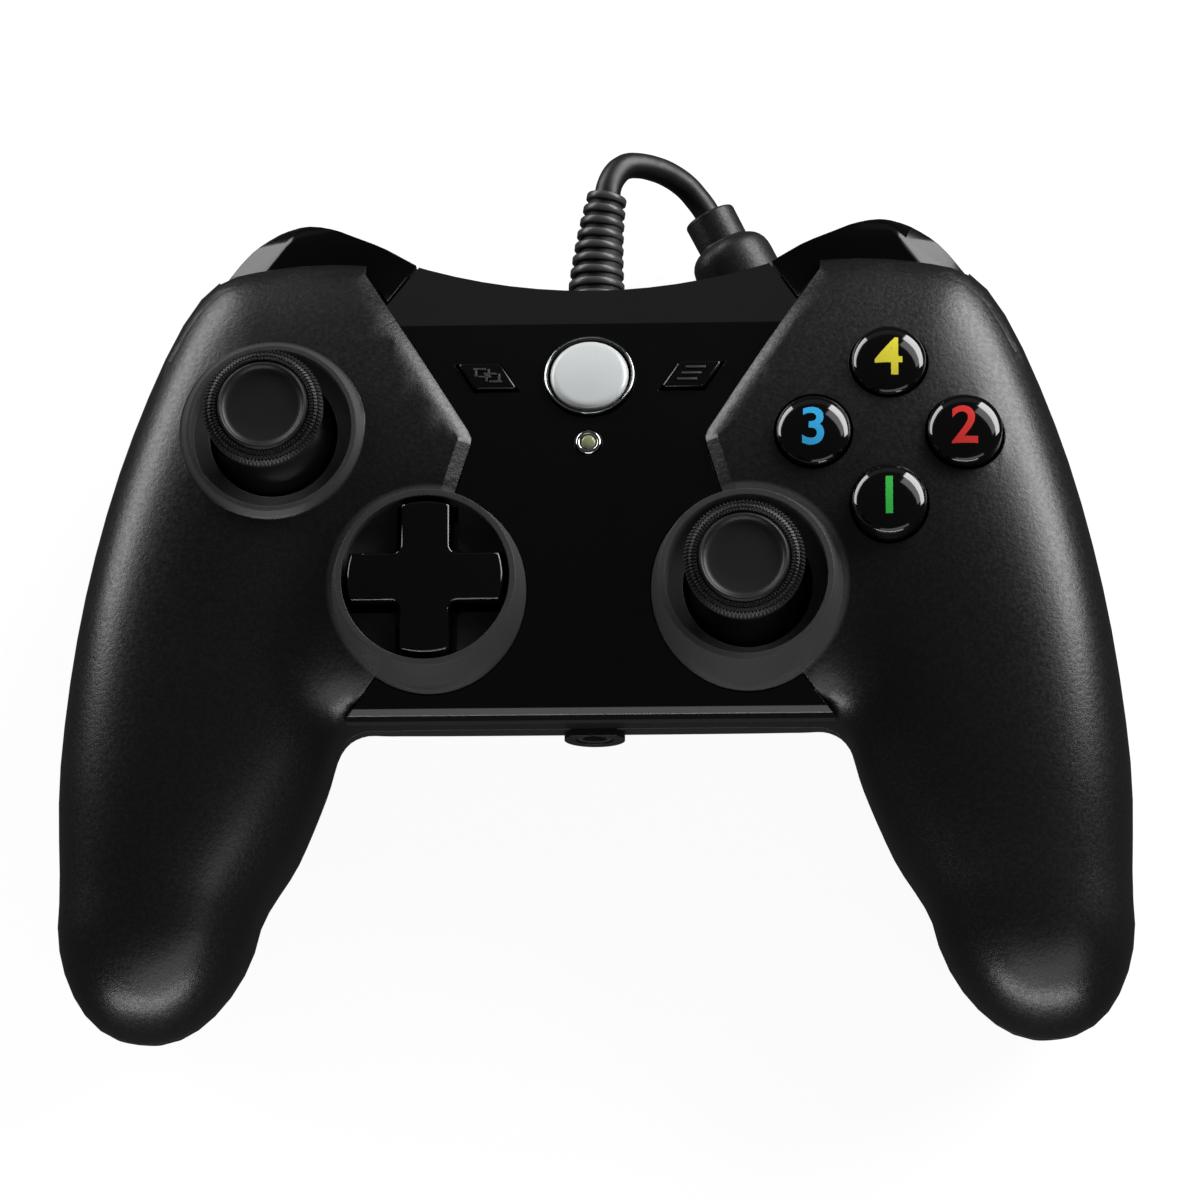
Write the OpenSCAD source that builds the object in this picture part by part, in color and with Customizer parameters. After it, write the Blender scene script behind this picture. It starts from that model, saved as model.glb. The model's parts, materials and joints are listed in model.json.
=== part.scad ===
// Gamepad with two grips, two thumb sticks, a direction pad, face buttons, bumpers, triggers
// and a short pigtail lead that ends in a breakaway connector.
// Millimetres. +X is the player's right, +Y points away from the player, +Z is up.
// The origin is on the table under the middle of the body.

/* [Body] */
// Overall width across the grips
body_w = 154; // [150:1:160]
// Overall depth from the grip tips to the trigger lips
body_d = 118; // [114:1:124]
// Wall of the moulded shells
wall = 2.2; // [1.8:0.1:2.6]
// Gap along the parting line between the shells
seam = 0.4; // [0.3:0.05:0.6]
// Height of the wing face at its crest
face_z = 36.5; // [35.5:0.5:38]
// Where the crest of the face lies, from front to back
crest_y = 13.5; // [10:0.5:16]
// Radius of the face's curve from front to back
face_r = 70; // [60:1:90]
// Distance from the middle to the front edge
front_y = 15.9; // [15.5:0.1:16.5]
// How far the triggers' lips stand behind the back edge between the bumpers
shoulder_d = 12; // [11.6:0.1:12.4]
// Half width of the straight front edge, where the grips turn away
corner_x = 33.5; // [32:0.5:35]
// Height of the parting line round the middle of the body
part_z = 19; // [18.5:0.1:19.5]

/* [Panel] */
// Step from the wing face down to the gloss panel
panel_step = 1.5; // [1:0.1:2]
// Thickness of the gloss panel
panel_t = 2; // [1.6:0.1:2.4]
// Depth of the sloped strip between the panel's fold and the back edge
fold_d = 5.7; // [4.6:0.1:7]
// Half width of the panel at the points of the wings
waist_x = 16.3; // [15.5:0.1:17.5]
// Half width of the panel at its back edge, between the bumpers
panel_back_x = 25.4; // [24.8:0.1:26]
// Gap round the panel
panel_gap = 0.15; // [0.1:0.05:0.3]

/* [Sticks] */
// Left stick, distance from the middle to the left
high_stick_x = 45; // [44:0.5:46]
// Left stick, distance behind the origin
high_stick_y = 24; // [23:0.5:25]
// Right stick and direction pad, distance from the middle
low_x = 22.6; // [22:0.1:23]
// Right stick and direction pad, distance behind the origin
low_y = 1.3; // [0.5:0.1:2]
// Diameter of the stick caps
cap_d = 16.8; // [15:0.2:18]
// Height of the stick caps' rim
cap_z = 49.5; // [48.5:0.5:51]
// Radius of the domed skirt about the stick's pivot
skirt_r = 12; // [11.8:0.1:12.2]
// Inside diameter of the stick wells
well_d = 23; // [22.6:0.1:23.6]
// Height of the two low collars
collar_z = 40; // [39:0.5:41]
// Outside diameter of the low collars where they meet the panel
collar_d = 28.8; // [28:0.2:30]
// Inside size of a stick housing
housing_in = 14.8; // [14.6:0.1:15.4]
// Wall of a stick housing
housing_wall = 1.2; // [1:0.1:1.6]
// Radius of the rocker trunnions
trunnion_r = 1.5; // [1.2:0.1:1.7]

/* [Direction pad] */
// Span of the cross
cross_span = 22; // [20:0.5:22.4]
// Width of the arms
cross_arm = 6.9; // [6:0.1:8]
// Inside diameter of the direction pad's dish
dish_d = 23.8; // [23.4:0.2:24.4]
// Radius of the pivot ball
ball_r = 2.6; // [2.2:0.1:2.8]

/* [Buttons] */
// Middle of the face buttons, distance to the right
cluster_x = 42.7; // [42:0.1:43.5]
// Middle of the button cluster, distance in front of the back edge
cluster_in = 24; // [23.5:0.5:24.5]
// Distance from the middle of the cluster to each button
cluster_r = 10.7; // [10:0.1:11.5]
// Diameter of the face buttons
button_d = 10.6; // [9:0.1:11]
// Travel of the face buttons
button_travel = 1.2; // [0.8:0.1:1.4]
// Diameter of the guide button
guide_d = 11.2; // [10.5:0.1:12]
// Guide, view and menu buttons, distance behind the origin
guide_y = 32.5; // [32:0.5:33.5]
// View and menu buttons, distance from the middle
menu_x = 14.6; // [14.2:0.1:15.4]
// Length of the view and menu buttons
menu_l = 6; // [5.4:0.1:6.4]
// Depth of the view and menu buttons
menu_w = 4.2; // [3.4:0.1:4.4]
// Travel of the guide, view and menu buttons
small_travel = 0.6; // [0.4:0.1:0.8]
// Status lens, distance behind the origin
lens_y = 22.2; // [21.5:0.1:23]
// Diameter of the status lens
lens_d = 2.1; // [1.6:0.1:2.4]

/* [Shoulders] */
// Thickness of a bumper
bumper_t = 6.2; // [5.6:0.1:6.3]
// Radius of the bumper pins
bumper_pin_r = 1.5; // [1.2:0.1:1.7]
// Width of a trigger
trigger_w = 17.5; // [15:0.5:18.5]
// Radius of a trigger pin
trigger_pin_r = 1.5; // [1.2:0.1:1.7]
// Radius of a trigger's hub
trigger_hub_r = 3; // [2.8:0.1:3.1]

/* [Board and motors] */
// Thickness of the main board
board_t = 1.6; // [1.2:0.1:2]
// Radius of a motor can
motor_r = 6; // [5:0.5:6.5]
// Length of a motor can
motor_l = 16; // [14:0.5:17]
// Radius of the left, larger weight
left_weight_r = 8.5; // [7:0.5:9]
// Radius of the right, smaller weight
right_weight_r = 7; // [6:0.5:8.5]
// Radius of the case screw shanks
screw_r = 1.25; // [1:0.05:1.5]

/* [Lead] */
// Bore of the headset socket
jack_bore_d = 3.5; // [3.5:0.1:3.7]
// Height of the headset socket's axis
jack_z = 15.8; // [15.5:0.1:16]
// Diameter of the cord
cord_d = 3.8; // [3.4:0.1:4]
// Ribs on the cable boot
boot_ribs = 8; // [5:1:9]
// Diameter of the boot at its foot
boot_d = 8.8; // [8:0.1:9]
// Diameter of the connector's body
bell_d = 12.2; // [11:0.1:12.4]

/* [Hidden] */
$fn = 64;

// Clearances: running fit, sliding fit and the gap between seated pieces
run_gap = 0.06;
slide_gap = 0.35;
seat_gap = 0.2;
// A cut passes this far beyond what it cuts
over = 1;

// Sections of the body
grip_x = body_w / 2;
tip_y = -body_d / 2;
back_y = body_d / 2 - shoulder_d;
fold_y = back_y - fold_d;
// Bow of the back edge: how far it runs back, times the distance from the middle squared
back_bow = 0.0072;
// Length of the rounded grip end, its lean outwards and how far it dips
tip_l = 17.2;
tip_lean = 0.12;
tip_dip = 2.5;
// Roundness of the grip end: 2 is an ellipse, more is fuller
tip_round = 2.1;
// Points across each section, steps between two sections and rings on a grip end
across = 20;
steps = 4;
tip_rings = 8;

// Height of the wing face, and of the gloss panel, along the middle of the body
function face_at(y) = face_z - pow(y - crest_y, 2) / (2 * face_r);
function panel_at(y) = face_at(y) - panel_step;
function panel_tilt(y) = atan((y - crest_y) / face_r);

// One section: inner point, outer point, parting heights at both, face heights at the inner edge,
// middle and outer edge, squareness above, belly heights at the same three, squareness below
sections = [
    [0, -front_y, 0, back_y, part_z, part_z,
        face_at(-front_y), face_z, face_at(back_y), 9, 7, -0.6, 7, 4],
    [corner_x * 0.36, -front_y, 15, back_y + 1.5, part_z, part_z,
        face_at(-front_y), face_z, face_at(back_y), 9, 7, -0.6, 7, 4],
    [corner_x * 0.66, -front_y, 30, back_y + 4.6, part_z, part_z,
        face_z - 6.6, face_z, face_z - 8, 8, 7, 1, 8, 4],
    [corner_x * 0.87, -front_y - 0.1, 46, back_y + 5, part_z, part_z,
        face_z - 6, face_z, face_z - 8.2, 6.5, 7, 2.2, 9, 3.6],
    [corner_x, -front_y - 0.3, 57, back_y + 0.4, part_z - 0.2, part_z + 0.4,
        face_z - 5.5, face_z - 0.2, face_z - 7, 5, 6.5, 3.2, 10, 3.2],
    [corner_x + 2.9, -front_y - 2.7, 66.5, 27, part_z - 0.8, part_z + 1.2,
        face_z - 5, face_z - 0.4, face_z - 4.5, 3.6, 5.5, 2.5, 9.5, 2.8],
    [grip_x - 38.5, tip_y + 34, grip_x - 4, tip_y + 62, part_z - 1.8, part_z + 1,
        face_z - 5, face_z - 1.5, face_z - 3.5, 3, 4, 1, 7, 2.6],
    [grip_x - 34.5, tip_y + 25, grip_x - 0.5, tip_y + 38, part_z - 4, part_z - 2,
        face_z - 6.5, face_z - 4, face_z - 5.5, 2.6, 2, -0.4, 3.5, 2.5],
    [grip_x - 29.4, tip_y + 16, grip_x - 0.4, tip_y + 18.5, part_z - 5.5, part_z - 4.5,
        face_z - 9, face_z - 8, face_z - 9, 2.4, 1.5, -0.4, 2, 2.4],
    [grip_x - 29, tip_y + 6, grip_x + 1, tip_y + 8.5, part_z - 7, part_z - 6,
        face_z - 13, face_z - 12, face_z - 13, 2.4, 0.5, -1, 1, 2.4]
];
last = len(sections) - 2;

// A section on the left is the mirror of the one on the right
function flip(v) = [for (i = [0:len(v) - 1]) i == 0 || i == 2 ? -v[i] : v[i]];
function section_key(i) = i < 0 ? flip(sections[-i]) : sections[i];
function spline(a, b, c, d, t) =
    (2 * b + (c - a) * t + (2 * a - 5 * b + 4 * c - d) * t * t
        + (3 * b - a - 3 * c + d) * t * t * t) / 2;
function section(s) =
    let (i = max(-last, min(floor(s), last - 1)), t = s - i)
    spline(section_key(i - 1), section_key(i), section_key(i + 1), section_key(i + 2), t);

// The parabola through three values at 0, a half and 1
function through(a, b, c, u) =
    a * (1 - u) * (1 - 2 * u) + 4 * b * u * (1 - u) + c * u * (2 * u - 1);

// How full a section is at a place across it: 2 gives an ellipse, more is squarer
function fullness(u, square) = pow(max(0, 1 - pow(abs(1 - 2 * u), square)), 1 / square);

// A point of a section's skin at an angle from 0, inner edge, to 180, outer edge
function skin(sec, angle, inset, top) =
    let (
        square = top ? sec[9] : sec[13],
        u = (1 - cos(angle)) / 2,
        rise = fullness(u, square),
        a = [sec[0], sec[1]],
        b = [sec[2], sec[3]],
        dir = (b - a) / norm(b - a),
        p = a + dir * inset + (b - a - 2 * inset * dir) * u,
        parting = sec[4] + (sec[5] - sec[4]) * u - (top ? 0 : seam),
        edge = top ? through(sec[6], sec[7], sec[8], u) - inset
            : through(sec[10], sec[11], sec[12], u) + inset
    )
    [p[0], p[1], parting + (edge - parting) * rise];

// The same on a grip's rounded end, at q from 0 to 1 along it
function tip_skin(sec, side, q, angle, inset, top) =
    let (
        p = skin(sec, angle, inset, top),
        c = [(sec[0] + sec[2]) / 2, (sec[1] + sec[3]) / 2,
            (sec[4] + sec[5]) / 2 - (top ? 0 : seam)]
    )
    c + (p - c) * pow(1 - pow(q, tip_round), 1 / tip_round)
        + [side * tip_lean, -1, 0] * (tip_l - inset) * q - [0, 0, tip_dip * q];

// Height of the right wing's face over a point: the section through the point is found by halving
function beside(sec, p) = cross([sec[2] - sec[0], sec[3] - sec[1]], p - [sec[0], sec[1]]);
function section_through(p, low, high, n) =
    let (mid = (low + high) / 2)
    n == 0 ? mid
        : beside(section(mid), p) > 0 ? section_through(p, low, mid, n - 1)
        : section_through(p, mid, high, n - 1);
function wing_z(p) =
    let (
        sec = section(section_through(p, 0, last, 16)),
        a = [sec[0], sec[1]],
        along = [sec[2], sec[3]] - a,
        u = (p - a) * along / (along * along),
        parting = sec[4] + (sec[5] - sec[4]) * u
    )
    parting + (through(sec[6], sec[7], sec[8], u) - parting) * fullness(u, sec[9]);

// Rings from the left grip's end to the right one's: side, section place and place on the end
rings = concat(
    [for (j = [tip_rings:-1:1]) [-1, -last, sin(87 * j / tip_rings)]],
    [for (i = [-last * steps:last * steps]) [i < 0 ? -1 : 1, i / steps, 0]],
    [for (j = [1:tip_rings]) [1, last, sin(87 * j / tip_rings)]]
);
function ring(r, inset, top) =
    let (sec = section(r[1]))
    [for (i = [0:across])
        r[2] > 0 ? tip_skin(sec, r[0], r[2], 180 * i / across, inset, top)
            : skin(sec, 180 * i / across, inset, top)];
function turned(faces, top) = top ? faces : [for (f = faces) [for (i = [len(f) - 1:-1:0]) f[i]]];

// Half shell with an even wall, open at the parting line
module half_shell(top) {
    m = across + 1;
    n = len(rings);
    points = [for (r = rings) each concat(ring(r, 0, top), ring(r, wall, top))];
    function o(j, i) = j * 2 * m + i;
    function w(j, i) = j * 2 * m + m + i;
    e = n - 1;
    faces = concat(
        [for (j = [0:n - 2], i = [0:m - 2]) [o(j, i), o(j, i + 1), o(j + 1, i + 1), o(j + 1, i)]],
        [for (j = [0:n - 2], i = [0:m - 2]) [w(j, i), w(j + 1, i), w(j + 1, i + 1), w(j, i + 1)]],
        [for (j = [0:n - 2]) [o(j, 0), o(j + 1, 0), w(j + 1, 0), w(j, 0)]],
        [for (j = [0:n - 2]) [w(j, m - 1), w(j + 1, m - 1), o(j + 1, m - 1), o(j, m - 1)]],
        [[for (i = [m - 1:-1:0]) o(0, i)], [for (i = [0:m - 1]) w(0, i)]],
        [[o(0, m - 1), o(0, 0), w(0, 0), w(0, m - 1)]],
        [[for (i = [0:m - 1]) o(e, i)], [for (i = [m - 1:-1:0]) w(e, i)]],
        [[w(e, m - 1), w(e, 0), o(e, 0), o(e, m - 1)]]
    );
    polyhedron(points, turned(faces, top), convexity = 8);
}

// Solid that ends halfway through the half shell's wall: what stands inside a shell is cut by it
module half_core(top) {
    m = across + 1;
    n = len(rings);
    points = [for (r = rings) each ring(r, wall / 2, top)];
    function o(j, i) = j * m + i;
    faces = concat(
        [for (j = [0:n - 2], i = [0:m - 2]) [o(j, i), o(j, i + 1), o(j + 1, i + 1), o(j + 1, i)]],
        [for (j = [0:n - 2]) [o(j, 0), o(j + 1, 0), o(j + 1, m - 1), o(j, m - 1)]],
        [[for (i = [m - 1:-1:0]) o(0, i)], [for (i = [0:m - 1]) o(n - 1, i)]]
    );
    polyhedron(points, turned(faces, top), convexity = 8);
}

// Placing helpers
module both_sides() {
    children();
    mirror([1, 0, 0]) children();
}
module on_side(side) {
    if (side < 0) mirror([1, 0, 0]) children();
    else children();
}
// Turns +Z to +X, and +Z to +Y
module along_x() { rotate([0, 90, 0]) children(); }
module along_y() { rotate([-90, 0, 0]) children(); }
// Extrudes a side outline, given as y and z, along X about the middle
module side_extrude(points, length) {
    rotate([90, 0, 90]) linear_extrude(length, center = true) polygon(points);
}
module box(low, high) { translate(low) cube(high - low); }
function unit(v) = v / norm(v);

// Board level and what stands on it
board_top = part_z;
board_low = board_top - board_t;
pivot_z = board_top + 5.5;
left_stick_at = [-high_stick_x, high_stick_y];
right_stick_at = [low_x, low_y];
dpad_at = [-low_x, low_y];
case_screw_at = [[grip_x - 14, tip_y + 10.5], [grip_x - 13, 6]];
case_screw_seat = [6, 8];
middle_screw_at = [0, 4];
middle_screw_seat = 6;
screw_head_r = 2.4;
screw_head_h = 2;
post_r = 3.4;
board_screw_at = [[28.5, back_y - 9.5], [44, -4]];
board_screw_r = 1;
board_post_r = 2.4;

// Outline of the cut between the wings, of the panel in it and of the back edge between the bumpers
wing_corner = [panel_back_x + 7.3, back_y + 2.7];
panel_corner = [panel_back_x + 4.3, back_y - 2];
function wing_edge(gap) = [
    [corner_x + 4 + gap, -front_y - 4], [28.3 + gap, -8.6], [18.6 + gap, 15.4],
    [waist_x + 0.3 + gap, 22], [waist_x + 0.2 + gap, 22.9], [waist_x + 0.6 + gap, 23.9]
];
function window_outline(gap) = concat(
    wing_edge(gap), [[wing_corner[0] + gap, wing_corner[1]], [wing_corner[0] + gap, body_d]]
);
panel_outline = concat(wing_edge(0), [panel_corner, [panel_back_x, back_y + 5], [panel_back_x, body_d]]);
function both(points) =
    concat(points, [for (i = [len(points) - 1:-1:0]) [-points[i][0], points[i][1]]]);
back_edge = [for (i = [8:-1:-8]) let (x = 4 * i) [x, back_y + 0.3 + back_bow * x * x]];

// Side outline of the panel's top, from the front lip to the back edge
lip_y = -front_y - 0.7;
fold_z = panel_at(fold_y);
strip_slope = 0.557;
function strip_z(y) = fold_z - strip_slope * (y - fold_y);
panel_line = concat(
    [[lip_y, panel_at(lip_y) - 1.3], [lip_y + 0.5, panel_at(lip_y + 0.5) - 0.2]],
    [for (i = [0:10]) let (y = lip_y + 1.4 + (fold_y - lip_y - 1.4) * i / 10) [y, panel_at(y)]],
    [[back_y + 7, strip_z(back_y + 7)]]
);
function lowered(points, by) = [for (p = points) [p[0], p[1] - by]];
function band(top_line, t) =
    concat(top_line, [for (i = [len(top_line) - 1:-1:0]) [top_line[i][0], top_line[i][1] - t]]);

// Everything above the panel's seat, inside the window's outline
module window_cut() {
    seat = lowered(panel_line, panel_t + seat_gap);
    first = seat[0];
    end = seat[len(seat) - 1];
    intersection() {
        side_extrude(concat([[first[0] - 6, 60], [first[0] - 6, first[1]]], seat, [[end[0], 60]]), 90);
        linear_extrude(60) polygon(both(window_outline(panel_gap)));
    }
}

// Chamfer along a wing's inner edge and round its back edge, on the right side
chamfer_w = 1.9;
chamfer_h = 1.5;
chamfer_path = concat(
    [[19.6, 12.9]], [for (i = [2:5]) wing_edge(0)[i]],
    [for (i = [1:3]) wing_edge(0)[5] + (wing_corner - wing_edge(0)[5]) * i / 4],
    [wing_corner + [0.3, 0.6]], [for (i = [0:5]) let (k = section(2.5 + 0.4 * i)) [k[2] + 1, k[3] - 0.6]]
);
function path_side(i) =
    let (
        n = len(chamfer_path) - 1,
        d = unit(chamfer_path[min(i + 1, n)] - chamfer_path[min(i, n - 1)]),
        c = unit(chamfer_path[max(i, 1)] - chamfer_path[max(i - 1, 0)]),
        m = unit(d + c)
    )
    [-m[1], m[0]] / (m * d);
module wing_chamfer() {
    beyond = 0.5;
    n = len(chamfer_path);
    points = [for (i = [0:n - 1])
        let (
            out = path_side(i),
            foot = chamfer_path[i],
            top = foot - out * chamfer_w,
            z = wing_z(top),
            high = foot - out * chamfer_w * (1 + beyond),
            low = foot + out * chamfer_w * beyond
        )
        each [
            [high[0], high[1], z + chamfer_h * beyond], [low[0], low[1], z - chamfer_h * (1 + beyond)],
            [low[0], low[1], z + 4]
        ]];
    polyhedron(points, concat(
        [for (j = [0:n - 2], k = [0:2]) [3 * j + (k + 1) % 3, 3 * j + k, 3 * j + 3 + k]],
        [for (j = [0:n - 2], k = [0:2]) [3 * j + (k + 1) % 3, 3 * j + 3 + k, 3 * j + 3 + (k + 1) % 3]],
        [[0, 1, 2], [3 * n - 1, 3 * n - 2, 3 * n - 3]]
    ));
}

// Collars round the sticks and the direction pad
collar_low = 28.5;
collar_lip = 0.9;
high_collar_z = face_z + 1.1;
well_floor_z = 34;
well_hole_d = 18.4;
module low_collar(bore_d) {
    rotate_extrude() polygon([
        [bore_d / 2, collar_z], [bore_d / 2 + collar_lip, collar_z],
        [collar_d / 2 + 0.4, collar_low], [collar_d / 2 - 1.8, collar_low],
        [collar_d / 2 - 1.8, well_floor_z - 1], [bore_d / 2, well_floor_z - 1]
    ]);
}
// The same cone with a gap, cut out of the panel
module collar_clear(bore_d) {
    foot_r = collar_d / 2 + 0.4 + panel_gap;
    translate([0, 0, collar_low])
        cylinder(r1 = foot_r, r2 = bore_d / 2 + collar_lip + panel_gap, h = collar_z - collar_low);
    cylinder(r = foot_r, h = collar_low + 0.01);
}
module high_collar() {
    rotate_extrude() polygon([
        [well_d / 2, high_collar_z], [well_d / 2 + 0.7, high_collar_z],
        [well_d / 2 + 1.8, face_z - 0.6], [well_d / 2 + 1.8, well_floor_z - 1],
        [well_d / 2, well_floor_z - 1]
    ]);
}
module well_floor() {
    translate([0, 0, well_floor_z - 1]) difference() {
        cylinder(d = well_d + 0.6, h = 1);
        translate([0, 0, -over]) cylinder(d = well_hole_d, h = 4);
    }
}

// Shoulder controls: bumper bay, bumper pin and trigger pivot on the right side
bumper_low = part_z + 0.4;
bumper_top = bumper_low + bumper_t;
bumper_in_y = back_y + 0.2;
bumper_x = [panel_back_x + 0.4, 53.6];
bumper_pin_at = [34.5, back_y + 1];
bumper_pin_top = bumper_top + 1;
bumper_switch_x = 44;
bay_y = back_y - 2;
trigger_x = 43.4;
trigger_pivot = [back_y, part_z - 3.6];
lug_t = 2.4;

module bay_rib() {
    box([18, bay_y - 1.8, part_z + 0.2], [58, bay_y - 0.3, face_z]);
    box([18, bay_y - 1.8, part_z + 0.2], [panel_back_x - 1, back_y + 0.6, part_z + 3.6]);
}
module bumper_bay() {
    box([panel_back_x + panel_gap, bay_y, part_z - over],
        [bumper_x[1] + 0.6, body_d, bumper_top + slide_gap]);
}

// Front casing: wings, upper grips and collars in one moulding
module front_casing() color("#1b1b1d") {
    dish_floor = [collar_z - 5, collar_z - 3.5];
    difference() {
        union() {
            difference() {
                union() {
                    half_shell(true);
                    intersection() {
                        half_core(true);
                        union() {
                            both_sides() {
                                bay_rib();
                                for (at = case_screw_at) translate(at) cylinder(r = post_r, h = face_z);
                                translate([0, 0, board_top]) for (at = board_screw_at)
                                    translate(at) cylinder(r = board_post_r, h = face_z);
                            }
                        }
                    }
                    translate(left_stick_at) high_collar();
                }
                window_cut();
                both_sides() wing_chamfer();
            }
            translate(right_stick_at) low_collar(well_d);
            for (at = [left_stick_at, right_stick_at]) translate(at) well_floor();
            translate(dpad_at) {
                low_collar(dish_d);
                translate([0, 0, dish_floor[0]])
                    cylinder(d = dish_d + 0.6, h = dish_floor[1] - dish_floor[0]);
            }
        }
        both_sides() {
            bumper_bay();
            translate([bumper_switch_x, bay_y, 0])
                box([-4, -3, part_z - over], [4, 1, board_top + 5.4]);
            translate(bumper_pin_at) cylinder(r = bumper_pin_r + 0.02, h = bumper_pin_top);
            for (i = [0:1]) translate(case_screw_at[i])
                cylinder(r = screw_r + run_gap, h = case_screw_seat[i] + 14);
            for (at = board_screw_at) translate(at)
                cylinder(r = board_screw_r + run_gap, h = board_top + 6);
        }
        for (at = [left_stick_at, right_stick_at]) translate(at) {
            cylinder(d = well_hole_d, h = 60);
            cylinder(d = well_d, h = well_floor_z - 1);
            translate([0, 0, well_floor_z]) cylinder(d = well_d, h = 60);
        }
        translate(dpad_at) {
            cylinder(d = dish_d, h = dish_floor[0]);
            translate([0, 0, dish_floor[1]]) cylinder(d = dish_d, h = 30);
            linear_extrude(60) cross_outline(2 * cross_gap);
        }
        for (at = button_at) button_frame(at) {
            cylinder(d = button_d + 2 * slide_gap, h = 40, center = true);
            translate([0, 0, -button_flange_z[1] - 20])
                cylinder(r = button_d / 2 + button_flange + slide_gap, h = 20 + slide_gap);
        }
        boot_hole();
    }
}

// Gloss panel between the wings, with the post for the middle case screw
module centre_panel() color("#0b0b0d") {
    difference() {
        union() {
            intersection() {
                side_extrude(band(panel_line, panel_t), 90);
                linear_extrude(60) polygon(both(panel_outline));
                linear_extrude(60) polygon(concat([[-60, -40], [60, -40]], back_edge));
            }
            translate([middle_screw_at[0], middle_screw_at[1], part_z + seat_gap])
                cylinder(r = post_r, h = panel_at(middle_screw_at[1]) - panel_t / 2 - part_z - seat_gap);
        }
        translate(right_stick_at) collar_clear(well_d);
        translate(dpad_at) collar_clear(dish_d);
        panel_frame(0, guide_y) cylinder(d = guide_ring_d + 2 * panel_gap, h = 20, center = true);
        panel_frame(0, lens_y) cylinder(d = lens_ring_d + 2 * panel_gap, h = 20, center = true);
        both_sides() panel_frame(-menu_x, guide_y)
            linear_extrude(20, center = true) menu_outline(menu_l + 2 * slide_gap, menu_w + 2 * slide_gap);
        translate(middle_screw_at) cylinder(r = screw_r + run_gap, h = middle_screw_seat + 20);
    }
}

// Rear casing: belly, lower grips, trigger bays, motor saddles and screw posts
module rear_casing() color("#161618") {
    post_top = part_z - seam - 0.1;
    difference() {
        union() {
            half_shell(false);
            intersection() {
                half_core(false);
                union() {
                    both_sides() {
                        for (at = case_screw_at) translate(at) cylinder(r = post_r, h = post_top + 6);
                        for (y = motor_saddle_y) translate([motor_at[0], y, 0])
                            box([-motor_r, -1, -over], [motor_r, 1, motor_at[1]]);
                        trigger_lugs();
                    }
                    translate(middle_screw_at) cylinder(r = post_r, h = post_top);
                }
            }
            translate(middle_screw_at) translate([0, 0, over]) cylinder(r = post_r, h = post_top - over);
            intersection() {
                translate([0, -front_y - 1, jack_z]) along_y() cylinder(d = jack_boss_d, h = 1 + wall / 2);
                box([-9, -40, 0], [9, 0, part_z - seam]);
            }
        }
        box([-100, -100, -10], [100, 100, 0]);
        both_sides() {
            for (i = [0:1]) translate(case_screw_at[i]) screw_hole(case_screw_seat[i]);
            for (y = motor_saddle_y) translate([motor_at[0], y - 2, motor_at[1]]) along_y()
                cylinder(r = motor_r + run_gap, h = 4);
            trigger_bay();
            translate([trigger_x, trigger_pivot[0], trigger_pivot[1]]) along_x()
                cylinder(r = trigger_pin_r + 0.02, h = trigger_w + 2 * lug_t - 0.3, center = true);
        }
        translate(middle_screw_at) screw_hole(middle_screw_seat);
        translate([0, -front_y - 3, jack_z]) along_y() cylinder(d = jack_sleeve_d + 2 * seat_gap, h = 8);
        box([-jack_w / 2 - seat_gap, jack_front_y - seat_gap, jack_z - 3 - seat_gap],
            [jack_w / 2 + seat_gap, jack_back_y + seat_gap, part_z + over]);
        boot_hole();
    }
}
module screw_hole(seat) {
    translate([0, 0, -over]) cylinder(r = screw_head_r + seat_gap, h = seat + over);
    cylinder(r = screw_r + run_gap, h = 40);
}

// Main board, cut out for the headset socket and the middle screw post
module main_board() color("#1f5a36") {
    front = -front_y + 2.4;
    half = [
        [0, front], [corner_x + 2.5, front], [grip_x - 27, front + 5.5], [grip_x - 20, 8],
        [grip_x - 20, 22], [grip_x - 23, back_y - 11], [corner_x + 12.5, back_y - 4.5],
        [corner_x - 3.5, back_y - 5.5], [0, back_y - 6.8]
    ];
    difference() {
        translate([0, 0, board_low]) linear_extrude(board_t) polygon(both(half));
        box([-jack_w / 2 - seat_gap, -40, 0], [jack_w / 2 + seat_gap, jack_back_y + seat_gap, 40]);
        translate(middle_screw_at) cylinder(r = post_r + slide_gap, h = 40);
        both_sides() for (at = board_screw_at) translate(at) cylinder(r = board_screw_r + run_gap, h = 40);
    }
}

// Thumb sticks: a rocker in the housing carries the hub, the hub carries the shaft, and a slotted
// rocker over both follows the shaft sideways
hub = [4.4, 4, 5.4];
hub_pin_r = 0.9;
shaft_r = 1.2;
neck_r = 1.9;
click_travel = 0.4;
rocker_out = [10.8, 7.2, 4];
arch_r = [4.8, 6.4];
arch_w = 6.8;
housing_half = housing_in / 2 + housing_wall;
housing_rise = 2.8;

module stick_frame(at) { translate([at[0], at[1], pivot_z]) children(); }

// The cap's knurled rim stands on a slim neck over a domed skirt that closes the well
cap_neck_r = 4.2;
skirt_t = 1.2;
skirt_edge = 62;
module stick_cap(at) color("#202022") stick_frame(at) {
    rim = cap_d / 2;
    top = cap_z - pivot_z;
    inside = skirt_r - skirt_t;
    first = asin(cap_neck_r / skirt_r);
    inner_first = asin(neck_r / inside);
    rotate_extrude() polygon(concat(
        [[neck_r, top - 1.6], [0, top - 1.6], [0, top - 1.1], [rim - 2.5, top - 0.7], [rim - 2.1, top]],
        [[rim - 1, top - 0.3], [rim, top - 1.2], [rim, top - 2.8], [rim - 0.6, top - 3.3]],
        [[rim - 1.4, top - 4.4]],
        [[cap_neck_r + 0.4, top - 6.2], [cap_neck_r, top - 9.5]],
        [for (i = [0:12]) let (a = first + (skirt_edge - first) * i / 12) skirt_r * [sin(a), cos(a)]],
        [for (i = [8:-1:0]) let (a = inner_first + (skirt_edge - inner_first) * i / 8)
            inside * [sin(a), cos(a)]]
    ));
}
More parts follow.
